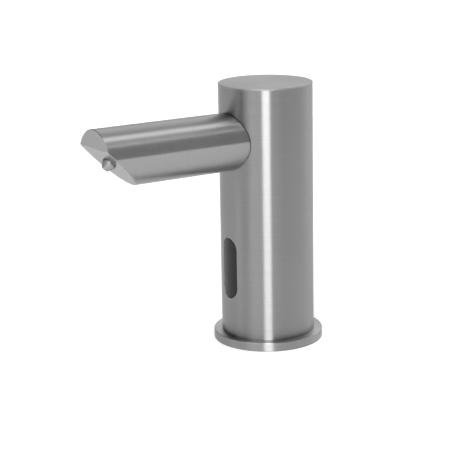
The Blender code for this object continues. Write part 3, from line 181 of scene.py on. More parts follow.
class HeadFinish(bpy.types.PropertyGroup):
    """Colours and gloss of the finishes."""

    steel: colour("Steel", (0.306, 0.306, 0.306), "Brushed steel")
    # Painted shade: the upright tube gets a darker copy of the same steel, standing in for the darker light
    # it reflects
    body_steel: colour("Body steel", (0.27, 0.27, 0.27), "Steel of the upright tube")
    # Painted light: the lid gets a lighter copy of the same steel, standing in for the brighter light on
    # its top
    lid_steel: colour("Lid steel", (0.335, 0.335, 0.335), "Steel of the lid")
    steel_roughness: share("Steel roughness", 0.30, "Roughness of the brushed steel")
    lid_roughness: share("Lid roughness", 0.50, "Roughness of the lid")
    steel_grain: share("Grain direction", 1.0, "How far the brushing stretches the shine")
    nose_roughness: share("Nose roughness", 0.26, "Roughness of the spout's end faces")
    window: colour("Window", (0.0055, 0.0055, 0.006), "Smoked window")
    rubber: colour("Rubber", (0.022, 0.022, 0.022), "Seals")
    white_plastic: colour("White plastic", (0.72, 0.72, 0.70), "Valve and plug")
    black_plastic: colour("Black plastic", (0.03, 0.03, 0.032), "Case and fittings")


class HeadStage(bpy.types.PropertyGroup):
    """Light of the stage."""

    floor: share("Floor", 0.86, "Brightness of the floor's colour")
    floor_glow: share("Floor glow", 0.24, "Light that the floor adds to its own in the picture")
    sky_low: share("Low sky", 0.09, "Light near the floor, behind", 4.0)
    sky_front: share("Low front sky", 0.20, "Light near the floor, in front", 4.0)
    sky_high: share("High sky", 0.45, "Light overhead", 4.0)


# Surfaces as grids of points


def make_piece(name, grids):
    """One mesh from grids of points. Cell (i, j) of a grid is the four-sided face between rows
    i and i + 1 and columns j and j + 1, equal points are welded, and cells that shrink to a line
    are dropped."""
    start, faces = 0, []
    for points, uv, *kept in grids:
        rows, columns = points.shape[:2]
        index = start + np.arange(rows * columns).reshape(rows, columns)
        cells = joined(index[:-1, :-1], index[:-1, 1:], index[1:, 1:], index[1:, :-1])
        faces.append(cells[kept[0]] if kept else cells.reshape(-1, 4))
        start += rows * columns
    points = chained(*(grid[0].reshape(-1, 3) for grid in grids))
    uvs = chained(*(grid[1].reshape(-1, 2) for grid in grids))
    faces = chained(*faces)
    whole = np.round(points / WELD).astype(np.int64)
    first, welded = np.unique(whole, axis=0, return_index=True, return_inverse=True)[1:]
    corners = welded.ravel()[faces]
    kept = corners != np.roll(corners, 1, axis=1)
    count = kept.sum(axis=1)
    good = (count > 2) & (corners[:, 0] != corners[:, 2]) & (corners[:, 1] != corners[:, 3])
    kept, count = kept[good], count[good]
    mesh = bpy.data.meshes.new(name)
    mesh.vertices.add(len(first))
    mesh.vertices.foreach_set("co", points[first].ravel())
    mesh.loops.add(int(count.sum()))
    mesh.loops.foreach_set("vertex_index", corners[good][kept].astype(np.int32))
    mesh.polygons.add(len(count))
    mesh.polygons.foreach_set("loop_start", chained([0], np.cumsum(count)[:-1]))
    mesh.update(calc_edges=True)
    layer = mesh.uv_layers.new(name=UV_NAME)
    layer.data.foreach_set("uv", uvs[faces[good]][kept].ravel())
    mesh.validate()
    piece = bpy.data.objects.new(name, mesh)
    bpy.context.scene.collection.objects.link(piece)
    return piece


def joined(*parts):
    """Arrays side by side as the last axis. Those with fewer values are spread over the others."""
    return np.stack(np.broadcast_arrays(*parts), axis=-1)


def chained(*parts):
    """Arrays one after the other."""
    return np.concatenate(parts)


def unit(vectors):
    return vectors / np.maximum(np.linalg.norm(vectors, axis=-1, keepdims=True), TINY)


def rounded(corners):
    """A line through corners (x, y, radius): each corner becomes an arc of its radius, whose
    centre lies on the corner's bisector at radius / sin(half the angle)."""
    corners = np.array(corners, float)
    place, radius = corners[:, :2], corners[:, 2]
    back, ahead = (unit(np.roll(place, way, axis=0) - place) for way in (1, -1))
    half = np.arccos(np.clip((back * ahead).sum(axis=1), -STRAIGHT, STRAIGHT)) / 2
    centre = place + unit(back + ahead) * (radius / np.sin(half))[:, None]
    reach = (radius / np.tan(half))[:, None]
    first, last = place + back * reach - centre, place + ahead * reach - centre
    turn = (pi - 2 * half)[:, None]
    part = np.linspace(0, 1, FILLET_STEPS + 1)
    weights = np.sin((1 - part) * turn) / np.sin(turn), np.sin(part * turn) / np.sin(turn)
    ends = weights[0][..., None] * first[:, None] + weights[1][..., None] * last[:, None]
    return (centre[:, None] + ends).reshape(-1, 2)


def run_length(line):
    return chained([0], np.cumsum(np.linalg.norm(np.diff(line, axis=0), axis=1)))


def turned(line, steps=ROUND_STEPS, start=0.0):
    """A line of (radius, height) carried round Z: x = r cos a, y = r sin a. The line runs up the
    outside. The map is (angle times the largest radius, length along the line)."""
    angle = start + np.linspace(0, 2 * pi, steps + 1)
    radius, height = line[:, :1], line[:, 1:]
    points = joined(radius * np.cos(angle), radius * np.sin(angle), height)
    return points, joined(angle * radius.max(), run_length(line)[:, None])


def placed(grid, origin, axis):
    """The grid carried from Z to the axis through the origin."""
    turn = np.array([SIDE, axis.cross(SIDE), axis])
    return grid[0] @ turn + np.array(origin), *grid[1:]


def place_of(origin, axis):
    """The matrix that does the same."""
    return Matrix.Translation(origin) @ Matrix((SIDE, axis.cross(SIDE), axis)).transposed().to_4x4()


def bar(radius, start, end, origin, axis=UP):
    """A round bar to cut with. Its first corner goes round with its size, so that no two bars,
    and no bar and seam, meet corner on corner."""
    line = np.array([(0, start), (radius, start), (radius, end), (0, end)], float)
    return placed(turned(line, SMALL_STEPS, radius * CUTTER_TURN), origin, axis)


def values_of(items, key, width, kind=float):
    """One value of every item of a mesh, as rows of an array."""
    values = np.empty(len(items) * width, kind)
    items.foreach_get(key, values)
    return values.reshape(-1, width)


def settled(piece, *grids):
    """The piece less each closed grid, with its modifiers applied and the soft shading set."""
    cutters = [make_piece("cutter", [grid]) for grid in grids]
    for cutter in cutters:
        cut = piece.modifiers.new("cut", "BOOLEAN")
        cut.operation, cut.solver, cut.object = "DIFFERENCE", "EXACT", cutter
    final = piece.evaluated_get(bpy.context.evaluated_depsgraph_get())
    mesh = bpy.data.meshes.new_from_object(final)
    piece.modifiers.clear()
    piece.data = mesh
    mesh.name = piece.name
    mesh.shade_smooth()
    mesh.set_sharp_from_angle(angle=SHARP_ANGLE)
    weighted = piece.modifiers.new("shading", "WEIGHTED_NORMAL")
    weighted.keep_sharp, weighted.weight = True, 90
    for cutter in cutters:
        bpy.data.objects.remove(cutter)
    return piece


def fitted(piece, body, slot, material, *nodes):
    """Gives the piece its finish and its CAD body, and hides the CAD nodes that it stands for."""
    piece.data.materials.clear()
    piece.data.materials.append(material)
    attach(piece, body)
    if nodes:
        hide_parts(*nodes)
    return piece


def dressed(name, grids, *fit, cuts=()):
    """A piece from grids, less its cuts, fitted as the function above says."""
    return fitted(settled(make_piece(name, grids), *cuts), *fit)


def ring_groove(radius, height):
    """The corners of a sealing ring's groove round a spigot, from below."""
    low, high, inner = height - GROOVE_HALF, height + GROOVE_HALF, radius - GROOVE_DEPTH
    return (radius, low, FINE), (inner, low, FINE), (inner, high, FINE), (radius, high, FINE)


# Upright tube with its holes


def arc(x, y, radius, first, last):
    angle = np.linspace(radians(first), radians(last), FILLET_STEPS + 1)
    return joined(x + radius * np.cos(angle), y + radius * np.sin(angle))


def hole_patch(radii, angles, heights, centre, half_width, half_height, edge, turn):
    """The skin from a rectangle of the tube's grid through a hole with round ends to the inner
    skin. A point p of the rectangle, as (x, z) across the hole's axis, goes straight to
    c + half_width * w, where c is the nearest point of the hole's middle line and w points from c
    to p. Depth along the axis is sqrt(radius^2 - x^2)."""
    outer, inner = radii
    field = joined(angles, heights[:, None] - centre)
    lap = chained(field[0], field[1:, -1], field[-1, -2::-1], field[-2::-1, 0])
    lap_angle, lap_height = lap.T
    straight = half_height - half_width
    core = joined(0.0, np.clip(lap_height, -straight, straight))
    frames = [joined(radius * np.sin(lap_angle), lap_height) for radius in radii]
    ray = unit(frames[0] - core)
    part = np.linspace(0, 1, PATCH_STEPS + 1)[:, None, None]
    bend = np.linspace(0, pi / 2, FILLET_STEPS + 1)[1:, None]
    flat = frames[0] * (1 - part) + (core + ray * (half_width + edge)) * part
    lip = core + ray * (half_width + edge * (1 - np.sin(bend)))[..., None]
    back = lip[-1] * (1 - part) + frames[1] * part
    depth = chained(
        np.sqrt(outer**2 - flat[..., 0] ** 2),
        np.sqrt(outer**2 - lip[..., 0] ** 2) - edge * (1 - np.cos(bend)),
        np.sqrt(inner**2 - back[..., 0] ** 2),
    )
    across = chained(flat, lip, back)
    around = turn + np.arctan2(across[..., 0], depth)
    reach = np.hypot(across[..., 0], depth)
    height = across[..., 1] + centre
    points = joined(reach * np.cos(around), reach * np.sin(around), height)
    return points, joined(around * outer, height)


def tube_grids(outer, inner, bottom, top, edge, holes):
    """The closed section of a tube carried round Z. Each hole (height, half width, half height,
    margin, edge, direction) leaves a rectangle out of both skins and gets a patch."""
    marks, steps = [bottom + edge], []
    for height, _, half_height, margin, _, _ in holes:
        reach = half_height + margin
        marks += [height - reach, height + reach]
        steps += [PLAIN_ROWS, max(HOLE_ROWS, int(reach * 2 / ROW_HEIGHT))]
    marks.append(top - edge)
    steps.append(TOP_ROWS)
    runs = [np.linspace(a, b, n + 1)[:-1] for a, b, n in zip(marks, marks[1:], steps)]
    heights = chained(*runs, [top - edge])
    last = len(heights) - 1
    line = chained(
        [(inner, bottom)],
        arc(outer - edge, bottom + edge, edge, -90, 0)[:-1],
        joined(outer, heights),
        arc(outer - edge, top - edge, edge, 0, 90)[1:],
        [(inner, top)],
        joined(inner, heights[::-1]),
        [(inner, bottom)],
    )
    first_outer = 1 + FILLET_STEPS
    first_inner = 2 * first_outer + last + 1
    kept = np.ones((len(line) - 1, ROUND_STEPS), bool)
    step, grids, row = 2 * pi / ROUND_STEPS, [(*turned(line, start=-pi), kept)], 0
    for (height, half_width, half_height, margin, lip, turn), n in zip(holes, steps[1::2]):
        low = row + PLAIN_ROWS
        high = row = low + n
        wide = int(np.ceil((half_width + margin) / outer / step))
        column = int(round((turn + pi) / step))
        kept[first_outer + low:first_outer + high, column - wide:column + wide] = False
        kept[first_inner + last - high:first_inner + last - low, column - wide:column + wide] = False
        angles = np.arange(-wide, wide + 1) * step
        grids.append(hole_patch(
            (outer, inner), angles, heights[low:high + 1], height, half_width, half_height, lip, turn
        ))
    return grids


class MakeBody(bpy.types.Operator):
    """Makes the upright tube with the screw's hole, the window's slot and the spout's hole"""

    bl_idname = "dispenser.make_body"
    bl_label = "Upright Tube"

    def execute(self, context):
        sizes, finish = context.scene.head_sizes, context.scene.head_finish
        holes = (
            (SCREW_HEIGHT, SCREW_HOLE, SCREW_HOLE, 0.0016, 0.00015, pi / 2),
            (sizes.window_height, sizes.window_half_width, sizes.window_half_height, 0.0034, 0.00025,
             -pi / 2),
            (spout_height(sizes), NIPPLE_HOLE, NIPPLE_HOLE, 0.003, 0.0002, -pi / 2),
        )
        grids = tube_grids(
            sizes.body_radius, sizes.body_radius - sizes.body_wall, sizes.flange_height + sizes.seam,
            sizes.body_height - sizes.lid_rim - sizes.seam, sizes.edge, holes,
        )
        # Painted shade: the tube's steel is darker than the spout's and foot's, though it is the same metal
        skin = steel("body_steel", shade=finish.body_steel)
        dressed("body_shell", grids, "head", "brushed_steel", skin, "body_tube")
        return {"FINISHED"}


class MakeLid(bpy.types.Operator):
    """Makes the flat lid with its grooved spigot"""

    bl_idname = "dispenser.make_lid"
    bl_label = "Lid"

    def execute(self, context):
        sizes, finish = context.scene.head_sizes, context.scene.head_finish
        plate, depth, wall, groove = 0.0025, 0.0062, 0.0032, 0.0032
        top, radius = sizes.body_height, sizes.body_radius
        under, spigot = top - sizes.lid_rim, radius - sizes.body_wall - PLAY
        line = rounded([
            (0, top - plate, 0), (spigot - wall, top - plate, SOFT), (spigot - wall, under - depth, SMALL),
            (spigot, under - depth, SOFT), *ring_groove(spigot, under - groove), (spigot, under, FINE),
            (radius, under, HAIR), (radius, top, SMALL), (0, top, 0),
        ])
        # Painted light: the lid's steel is lighter than the tube's and spout's, though it is the same metal
        skin = steel("lid_steel", grain=0.3, rough=finish.lid_roughness, shade=finish.lid_steel)
        dressed("lid", [turned(line)], "head", "brushed_steel", skin, "top_cap")
        return {"FINISHED"}


class MakeFoot(bpy.types.Operator):
    """Makes the flange with its spigot and holes, and the rubber seal under it"""

    bl_idname = "dispenser.make_foot"
    bl_label = "Foot And Seal"

    def execute(self, context):
        sizes = context.scene.head_sizes
        inset, width, depth, thickness, play = 0.0018, 0.0022, 0.0016, 0.0013, 0.0002
        rise, wall, groove, floor = 0.01, 0.0042, 0.0026, 0.008
        flange, thick = sizes.flange_radius, sizes.flange_height
        spigot = sizes.body_radius - sizes.body_wall - PLAY
        inner, top = spigot - wall, thick + rise
        seal_out = flange - inset
        seal_in = seal_out - width
        line = rounded([
            (0, 0, 0), (seal_in - play, 0, FINE), (seal_in - play, depth, FINE),
            (seal_out + play, depth, FINE), (seal_out + play, 0, FINE), (flange, 0, SOFT),
            (flange, thick, ROUND), (spigot, thick, FINE), *ring_groove(spigot, thick + groove),
            (spigot, top, ROUND), (inner, top, SMALL), (inner, floor, SOFT), (0, floor, 0),
        ])
        cuts = [bar(SCREW_HOLE, inner - OVERRUN / 2, flange - OVERRUN, (0, 0, SCREW_HEIGHT), BACK)]
        cuts += [bar(radius, -OVERRUN, depth, (x, y, 0)) for radius, depth, x, y in FOOT_HOLES]
        skin = steel("foot_steel")
        dressed("foot", [turned(line)], "head", "brushed_steel", skin, "base_flange", cuts=cuts)
        line = rounded([
            (seal_in, 0, 0), (seal_out, 0, SOFT), (seal_out, thickness, SMALL), (seal_in, thickness, SMALL),
        ])
        line = chained(line, line[:1])
        dressed("foot_seal", [turned(line)], "head", "black_rubber", rubber("seal_rubber"), "deck_seal")
        return {"FINISHED"}


# Spout with its upright and its slanted end face


def spout_height(sizes):
    return sizes.body_height - sizes.spout_drop


def nozzle_seat(sizes):
    edge = spout_height(sizes) * UP + SPOUT_OUT * sizes.spout_reach + SPOUT_UP * sizes.nose_rise
    return edge + NOSE_DOWN * sizes.nozzle_drop


def spout_contours(sizes, radius, inset):
    """One skin's section circle, where it meets the body's saddle and where it meets the nose.
    Saddle: t = (sqrt(s^2 - x^2) + z sin r) / cos r for the saddle radius s and the rise r.
    Nose: t = reach above the slanted face's top edge, and falls with z below it."""
    saddle = sizes.body_radius + sizes.joint_gap
    ridge = sizes.nose_rise + inset * (sqrt(2) - 1)
    split = acos(ridge / radius)
    half = chained(
        np.linspace(0, split, NOSE_STEPS + 1), np.linspace(split, pi, 2 * NOSE_STEPS + 1)[1:])
    angle = chained(half, 2 * pi - half[-2::-1])
    across, up = -radius * np.sin(angle), radius * np.cos(angle)
    rear = (np.sqrt(saddle**2 - across**2) + up * sin(SPOUT_RISE)) / cos(SPOUT_RISE)
    front = sizes.spout_reach - inset + np.minimum(0, up - ridge)
    return angle, across, up, rear, front, len(half)


def spout_grids(sizes):
    """Rows of the tube: inner front, inner rear, the seal's rear and front, outer rear, outer
    front. The end faces are ribs between mirrored points of a front contour."""
    axes, root = np.array([SIDE, SPOUT_OUT, SPOUT_UP]), (0, 0, spout_height(sizes))
    outer = spout_contours(sizes, sizes.spout_radius, 0)
    inner = spout_contours(sizes, sizes.spout_radius - sizes.spout_wall, sizes.nose_wall)
    seal = spout_contours(sizes, sizes.spout_radius - sizes.joint_depth, 0)
    width = sizes.joint_width
    rows = [(inner, 4, 0), (inner, 3, 0), (seal, 3, 0), (seal, 3, width), (outer, 3, width), (outer, 4, 0)]
    along = np.stack([side[column] + shift for side, column, shift in rows])
    around, across, up = np.stack([side[:3] for side, _, _ in rows], axis=1)
    grids = [(joined(across, along, up) @ axes + root, joined(around * sizes.spout_radius, along))]
    for (_, across, up, _, front, count), order in ((outer, (1, -1)), (inner, (-1, 1))):
        sides, up, front = abs(across[:count, None]) * order, up[:count, None], front[:count, None]
        grids.append((joined(sides, front, up) @ axes + root, joined(sides, -up)))
    return grids


class MakeSpout(bpy.types.Operator):
    """Makes the round spout, whose end is cut upright and slanted, with the nozzle's hole"""

    bl_idname = "dispenser.make_spout"
    bl_label = "Spout"

    def execute(self, context):
        sizes, finish = context.scene.head_sizes, context.scene.head_finish
        rear_share, seal_share, flat_angle, hole_depth = 0.16, 1.05, radians(0.3), 0.0055
        spout = make_piece("spout", spout_grids(sizes))
        mesh = spout.data
        mesh.set_sharp_from_angle(angle=SHARP_ANGLE)
        ends = values_of(mesh.edges, "vertices", 2, np.int32)
        sharp = values_of(mesh.attributes["sharp_edge"].data, "value", 1, bool)[:, 0]
        spot = values_of(mesh.vertices, "co", 3)[ends].mean(axis=1)
        spot -= (0, 0, spout_height(sizes))
        along, up = spot @ np.array(SPOUT_OUT), spot @ np.array(SPOUT_UP)
        nose = abs(along - sizes.spout_reach - np.minimum(0, up - sizes.nose_rise)) < FINE / 10
        skin = np.hypot(spot[:, 0], up) > sizes.spout_radius - sizes.joint_depth / 2
        rear = skin & (along < sizes.spout_reach / 2)
        weights = mesh.attributes.new("bevel_weight_edge", "FLOAT", "EDGE")
        weights.data.foreach_set("value", sharp * (nose * 1.0 + rear * rear_share))
        flat = spout.modifiers.new("flat_ends", "DECIMATE")
        flat.decimate_type, flat.angle_limit = "DISSOLVE", flat_angle
        edges = spout.modifiers.new("edges", "BEVEL")
        edges.limit_method, edges.width, edges.segments = "WEIGHT", sizes.nose_edge, FILLET_STEPS
        settled(spout, bar(SHANK_HOLE, -hole_depth, OVERRUN, nozzle_seat(sizes), NOSE_OUT))
        place = place_of((0, 0, spout_height(sizes)), SPOUT_OUT)
        fitted(spout, "head", "brushed_steel", steel("spout_steel", place), "spout_body")
        ends_steel = steel("nose_steel", place, straight_lines, rough=finish.nose_roughness, grain=0.6)
        spout.data.materials.append(ends_steel)
        spout.data.materials.append(rubber("joint_rubber"))
        faces = spout.data.polygons
        facing = values_of(faces, "normal", 3) @ np.array(SPOUT_OUT) > cos(pi / 3)
        centres = values_of(faces, "center", 3)
        seal = sizes.body_radius + sizes.joint_gap + sizes.joint_width * seal_share
        slots = np.where(np.hypot(centres[:, 0], centres[:, 1]) < seal, 2, facing)
        faces.foreach_set("material_index", slots.astype(np.int32))
        return {"FINISHED"}


class MakeNozzle(bpy.types.Operator):
    """Makes the nozzle: a turned cone with a bore, and a shank through the slanted wall"""

    bl_idname = "dispenser.make_nozzle"
    bl_label = "Nozzle"

    def execute(self, context):
        sizes = context.scene.head_sizes
        bore, shank, depth, lift, brim = 0.0009, 0.0024, 0.0064, 0.00001, 0.0006
        tip_edge, bore_edge = 0.00022, 0.00012
        base, tip, top = sizes.nozzle_base, sizes.nozzle_tip, sizes.nozzle_height
        line = rounded([
            (bore, -depth, 0), (shank, -depth, SMALL), (shank, lift, 0), (base, lift, 0),
            (base, brim, SMALL), (tip, top, tip_edge), (bore, top, bore_edge), (bore, -depth, 0),
        ])
        seat = nozzle_seat(sizes)
        skin = steel("nozzle_steel", place_of(seat, NOSE_OUT), grain=0.2, rough=0.42)
        grid = placed(turned(line), seat, NOSE_OUT)
        dressed("nozzle_cone", [grid], "head", "turned_steel", skin, "nozzle")
        return {"FINISHED"}


def coil(wire, radius, half, turns, closing):
    """A spring round Z. The middle line is (r cos a, r sin a, h), where h rises evenly less a sine
    that closes up the end turns. The wire is a circle on the outward direction u and on v = t x u,
    t being the line's direction, and shrinks to a point at both ends."""
    share = np.linspace(0, 1, turns * COIL_STEPS + 1)
    angle = 2 * pi * turns * share
    height = half * (2 * share - 1) - half * closing * np.sin(2 * pi * share) / pi
    line = joined(radius * np.cos(angle), radius * np.sin(angle), height)
    rows = [0, *range(len(line)), -1]
    ahead = unit(np.gradient(line, axis=0))[rows]
    line = line[rows]
    outward = line * (1 / radius, 1 / radius, 0)
    across = np.cross(ahead, outward)
    thick = np.full((len(line), 1), wire)
    thick[[0, -1]] = 0
    turn = np.linspace(0, 2 * pi, WIRE_STEPS + 1)
    ring = np.cos(turn)[:, None] * outward[:, None] + np.sin(turn)[:, None] * across[:, None]
    uv = joined(wire * turn, run_length(line)[:, None])
    return line[:, None] + thick[..., None] * ring, uv


class MakeValve(bpy.types.Operator):
    """Makes the ball of the anti-drip valve and the spring that it squeezes"""

    bl_idname = "dispenser.make_valve"
    bl_label = "Valve Ball And Spring"

    def execute(self, context):
        wire, turns, closing = 0.0002, 4, 0.45
        shiny = metal("spring_steel", (0.55, 0.55, 0.56), 0.18)
        low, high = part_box("valve_ball")
        radius = (high[0] - low[0]) / 2
        turn = np.linspace(-pi / 2, pi / 2, BALL_STEPS // 2 + 1)
        line = joined(radius * np.cos(turn), radius * np.sin(turn))
        grid = placed(turned(line, BALL_STEPS), middle("valve_ball"), SPOUT_OUT)
        dressed("valve_sphere", [grid], "ball", "spring_steel", shiny, "valve_ball")
        low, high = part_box("valve_spring")
        radius = (high[0] - low[0]) / 2 - wire
        half = (high[1] - low[1]) / 2 - wire - radius * sin(SPOUT_RISE)
        centre = middle("valve_spring")
        grid = placed(coil(wire, radius, half, turns, closing), centre, SPOUT_OUT)
        spring = dressed("valve_coil", [grid], "head", "spring_steel", shiny, "valve_spring")
        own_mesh(spring)
        return {"FINISHED"}


class MakeWindow(bpy.types.Operator):
    """Makes the smoked window, whose front follows the tube, with the flange behind the wall"""

    bl_idname = "dispenser.make_window"
    bl_label = "Sensor Window"

    def execute(self, context):
        """Each row is the slot's middle line c plus h w, where w turns once round it. Curved
        rows lie at depth sqrt(r^2 - x^2), and the flat rear at its own depth."""
        sizes = context.scene.head_sizes
        sunk, play, ledge, edge = 0.00015, 0.00002, 0.0013, 0.00035
        low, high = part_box("sensor_window")
        flange, rear, front = (high[0] - low[0]) / 2, -high[1], sizes.body_radius - sunk
        width = sizes.window_half_width - sizes.seam - play
        straight = sizes.window_half_height - sizes.window_half_width
        wall = sizes.body_radius - sizes.body_wall - ledge
        side = np.linspace(-straight, straight, WINDOW_STEPS // 2 + 1)
        turn = np.linspace(0, pi, WINDOW_STEPS + 1)[1:-1]
        beta = chained(0 * side, turn, 0 * side + pi, turn + pi, [0])
        core = chained(side, 0 * turn + straight, side[::-1], 0 * turn - straight, [-straight])
        bend = np.linspace(0, pi / 2, FILLET_STEPS + 1)
        face = np.linspace(width - edge, 0, PATCH_STEPS + 1)[1:]
        half = chained(
            [0], flange - edge + edge * np.sin(bend), [flange, flange, width, width],
            width - edge + edge * np.cos(bend), face)[:, None]
        radius = chained(
            0 * bend, [0, 0, wall, wall, wall], front - edge + edge * np.sin(bend),
            0 * face + front)[:, None]
        flat = chained([rear], rear + edge * (1 - np.cos(bend)), [rear + 2 * edge])
        flat = np.pad(flat, (0, len(half) - len(flat)))[:, None]
        across = half * np.cos(beta)
        height = half * np.sin(beta) + core + sizes.window_height
        depth = np.where(radius > 0, np.sqrt(np.maximum(radius**2 - across**2, 0)), flat)
        grid = joined(across, -depth, height), joined(across, height)
        dressed("window_lens", [grid], "head", "smoked_window", smoked("window_smoked"), "sensor_window")
        return {"FINISHED"}


class MakeFittings(bpy.types.Operator):
    """Makes the hose fitting with its release ring, the plug's socket and the lock screw"""

    bl_idname = "dispenser.make_fittings"
    bl_label = "Fittings In The Foot"

    def execute(self, context):
        self.make_hose_fitting()
        self.make_socket()
        self.make_lock_screw(context.scene.head_sizes)
        return {"FINISHED"}

    def add(self, name, line, place, body, slot, skin, node, cuts=()):
        grid = placed(turned(line, SMALL_STEPS), (0, place, 0), UP)
        dressed(name, [grid], body, slot, plastic(skin, slot), node, cuts=cuts)

    def make_hose_fitting(self):
        hose, bore, stem, ridge = 0.00325, 0.0009, 0.0015, 0.00185
        throat, shell, collar, edge = 0.00455, 0.00525, 0.00685, 0.00008
        low, high = (corner[2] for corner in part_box("inlet_connector"))
        barb, shoulder, rim = high - 0.009, 0.0085, low + 0.0022
        roof = barb - 0.0019
        ridges = [corner for rise in (0.003, 0.0058) for corner in (
            (stem, barb + rise, 0), (ridge, barb + rise + FINE, edge))]
        line = rounded([
            (bore, roof, 0), (hose, roof, SMALL), (hose, shoulder, FINE), (throat, shoulder, FINE),
            (throat, low, SMALL), (collar, low, SOFT), (collar, rim, SMALL), (shell, rim, FINE),
            (shell, barb, SOFT), (stem, barb, SMALL), *ridges, (stem, high, FINE), (bore, high, FINE),
            (bore, roof, 0),
        ])
        look = "head", "black_plastic", "fitting_plastic"
        self.add("hose_fitting", line, INLET_PLACE, *look, "inlet_connector")
        low, high = (corner[2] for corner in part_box("inlet_collet"))
        sleeve, collar, rim = 0.00425, 0.00535, low + 0.001
        line = rounded([
            (hose, low, SOFT), (collar, low, SOFT), (collar, rim, SOFT), (sleeve, rim, FINE),
            (sleeve, high, SMALL), (hose, high, SMALL),
        ])
        line = chained(line, line[:1])
        look = "collet", "white_plastic", "ring_plastic"
        self.add("release_ring", line, INLET_PLACE, *look, "inlet_collet")

    def make_socket(self):
        tail, mouth, barrel, collar = 0.003, 0.0037, 0.0045, 0.0059
        low, rim, pit, top, high = 0.0004, 0.0026, 0.006, 0.012, 0.0135
        line = rounded([
            (0, pit, 0), (mouth, pit, SOFT), (mouth, low, SMALL), (collar, low, SOFT), (collar, rim, SMALL),
            (barrel, rim, FINE), (barrel, top, SMALL), (tail, top, FINE), (tail, high, ROUND), (0, high, 0),
        ])
        lead, depth = 0.0015, 0.003
        cut = bar(lead, high - depth, high + lead, (0, SOCKET_PLACE, 0))
        look = "head", "black_plastic", "socket_plastic"
        self.add("plug_socket", line, SOCKET_PLACE, *look, "lead_socket", [cut])
        pin, tip, root, ring = 0.00045, 0.0022, 0.0064, 0.0018
        line = rounded([(0, tip, 0), (pin, tip, SMALL), (pin, root, 0), (0, root, 0)])
        turns = pi / 2, pi * 7 / 6, pi * 11 / 6
        spots = [(ring * cos(turn), ring * sin(turn) + SOCKET_PLACE, 0) for turn in turns]
        grids = [placed(turned(line, PIN_STEPS), spot, UP) for spot in spots]
        dressed("socket_pins", grids, "head", "plated_brass", brass("pin_brass"))

    def make_lock_screw(self, sizes):
        """A turned bar whose key recess has the radius a / cos(angle from the nearest flat)."""
        shank, long, key, deep, sunk, taper = 0.0017, 0.0044, 0.001, 0.0015, 0.0004, 0.00005
        outer = sizes.body_radius - sunk
        line = rounded([
            (0, outer - long, 0), (shank, outer - long, SOFT), (shank, outer, SMALL),
            (key + taper, outer, taper), (key, outer - deep, 0), (0, outer - deep - SMALL, 0),
        ])
        points, uv = turned(line, SMALL_STEPS)
        angle = np.linspace(0, 2 * pi, SMALL_STEPS + 1)
        flats = cos(pi / 6) / np.cos(np.mod(angle, pi / 3) - pi / 6)
        recess = (np.arange(len(line)) >= 3 * (FILLET_STEPS + 1))[:, None]
        points[..., :2] *= np.where(recess, flats, 1.0)[..., None]
        origin = 0, 0, SCREW_HEIGHT
        skin = steel("screw_steel", place_of(origin, BACK), grain=0.5)
        grid = placed((points, uv), origin, BACK)
        dressed("lock_screw", [grid], "head", "turned_steel", skin, "body_set_screw")


# Finishes


class Shader:
    """A material's node tree with short calls for the nodes that the finishes share."""

    def __init__(self, name, tree=None):
        if tree is None:
            self.material = bpy.data.materials.new(name)
            self.material.use_nodes = True
            tree = self.material.node_tree
            self.surface = tree.nodes["Principled BSDF"]
        self.nodes, self.links = tree.nodes, tree.links

    def add(self, kind, inputs=(), **values):
        node = self.nodes.new("ShaderNode" + kind)
        for key, value in values.items():
            setattr(node, key, value)
        return self.fill(node, inputs)

    def fill(self, node, inputs):
        """Gives each named input of a node its link or its plain value."""
        for key, value in dict(inputs).items():
            if isinstance(value, bpy.types.NodeSocket):
                self.links.new(value, node.inputs[key])
            else:
                node.inputs[key].default_value = value
        return node

    def maths(self, operation, *values):
        return self.add("Math", enumerate(values), operation=operation).outputs[0]

    def vector(self, operation, *values):
        node = self.add("VectorMath", enumerate(values), operation=operation)
        return node.outputs["Value" if operation in ("LENGTH", "DOT_PRODUCT") else "Vector"]

    def parts(self, vector):
        return self.add("SeparateXYZ", {"Vector": vector}).outputs

    def spread(self, value, middle, reach):
        """A mask from 0 to 1 as a number up to reach away from the middle."""
        return self.maths("MULTIPLY_ADD", value, 2 * reach, middle - reach)

    def tinted(self, value, shade, low, high):
        """The shade, darkened and lightened by a mask."""
        ends = [(*(min(part * by, 1) for part in shade), 1) for by in (low, high)]
        mix = self.add("Mix", {"Factor": value, "A": ends[0], "B": ends[1]}, data_type="RGBA")
        return mix.outputs["Result"]

    def noise(self, vector, scale, detail, roughness=0.5):
        inputs = {"Vector": vector, "Scale": scale, "Detail": detail, "Roughness": roughness}
        return self.add("TexNoise", inputs).outputs["Fac"]

    def bumped(self, height, strength, distance):
        inputs = {"Height": height, "Strength": strength, "Distance": distance}
        return self.add("Bump", inputs).outputs["Normal"]

    def place(self, matrix=None):
        """Object coordinates, seen from the given place."""
        vector = self.add("TexCoord").outputs["Object"]
        if matrix is None:
            return vector
        back = matrix.inverted()
        return self.add("Mapping", {
            "Vector": vector, "Location": back.to_translation(), "Rotation": back.to_euler()}).outputs[0]

    def masks(self, effect, place, scale):
        """The two masks of an effect, laid over the piece with its own place and scale."""
        inputs = {"Vector": self.place(place), "Scale": scale}
        return self.add("Group", inputs, node_tree=effect_group(effect)).outputs


def effect_group(effect):
    """The node group of an effect, built when it is first asked for. From a Vector and a Scale it
    makes the masks Grain and Clouds."""
    tree = bpy.data.node_groups.get(effect.__name__)
    if tree is None:
        tree = bpy.data.node_groups.new(effect.__name__, "ShaderNodeTree")
        for key in ("Vector", "Scale", "Grain", "Clouds"):
            kind = "NodeSocketVector" if key == "Vector" else "NodeSocketFloat"
            way = "INPUT" if key in ("Vector", "Scale") else "OUTPUT"
            tree.interface.new_socket(key, in_out=way, socket_type=kind)
        shader = Shader(tree.name, tree)
        given = tree.nodes.new("NodeGroupInput").outputs
        masks = effect(shader, given["Vector"], given["Scale"])
        shader.fill(tree.nodes.new("NodeGroupOutput"), enumerate(masks))
    return tree


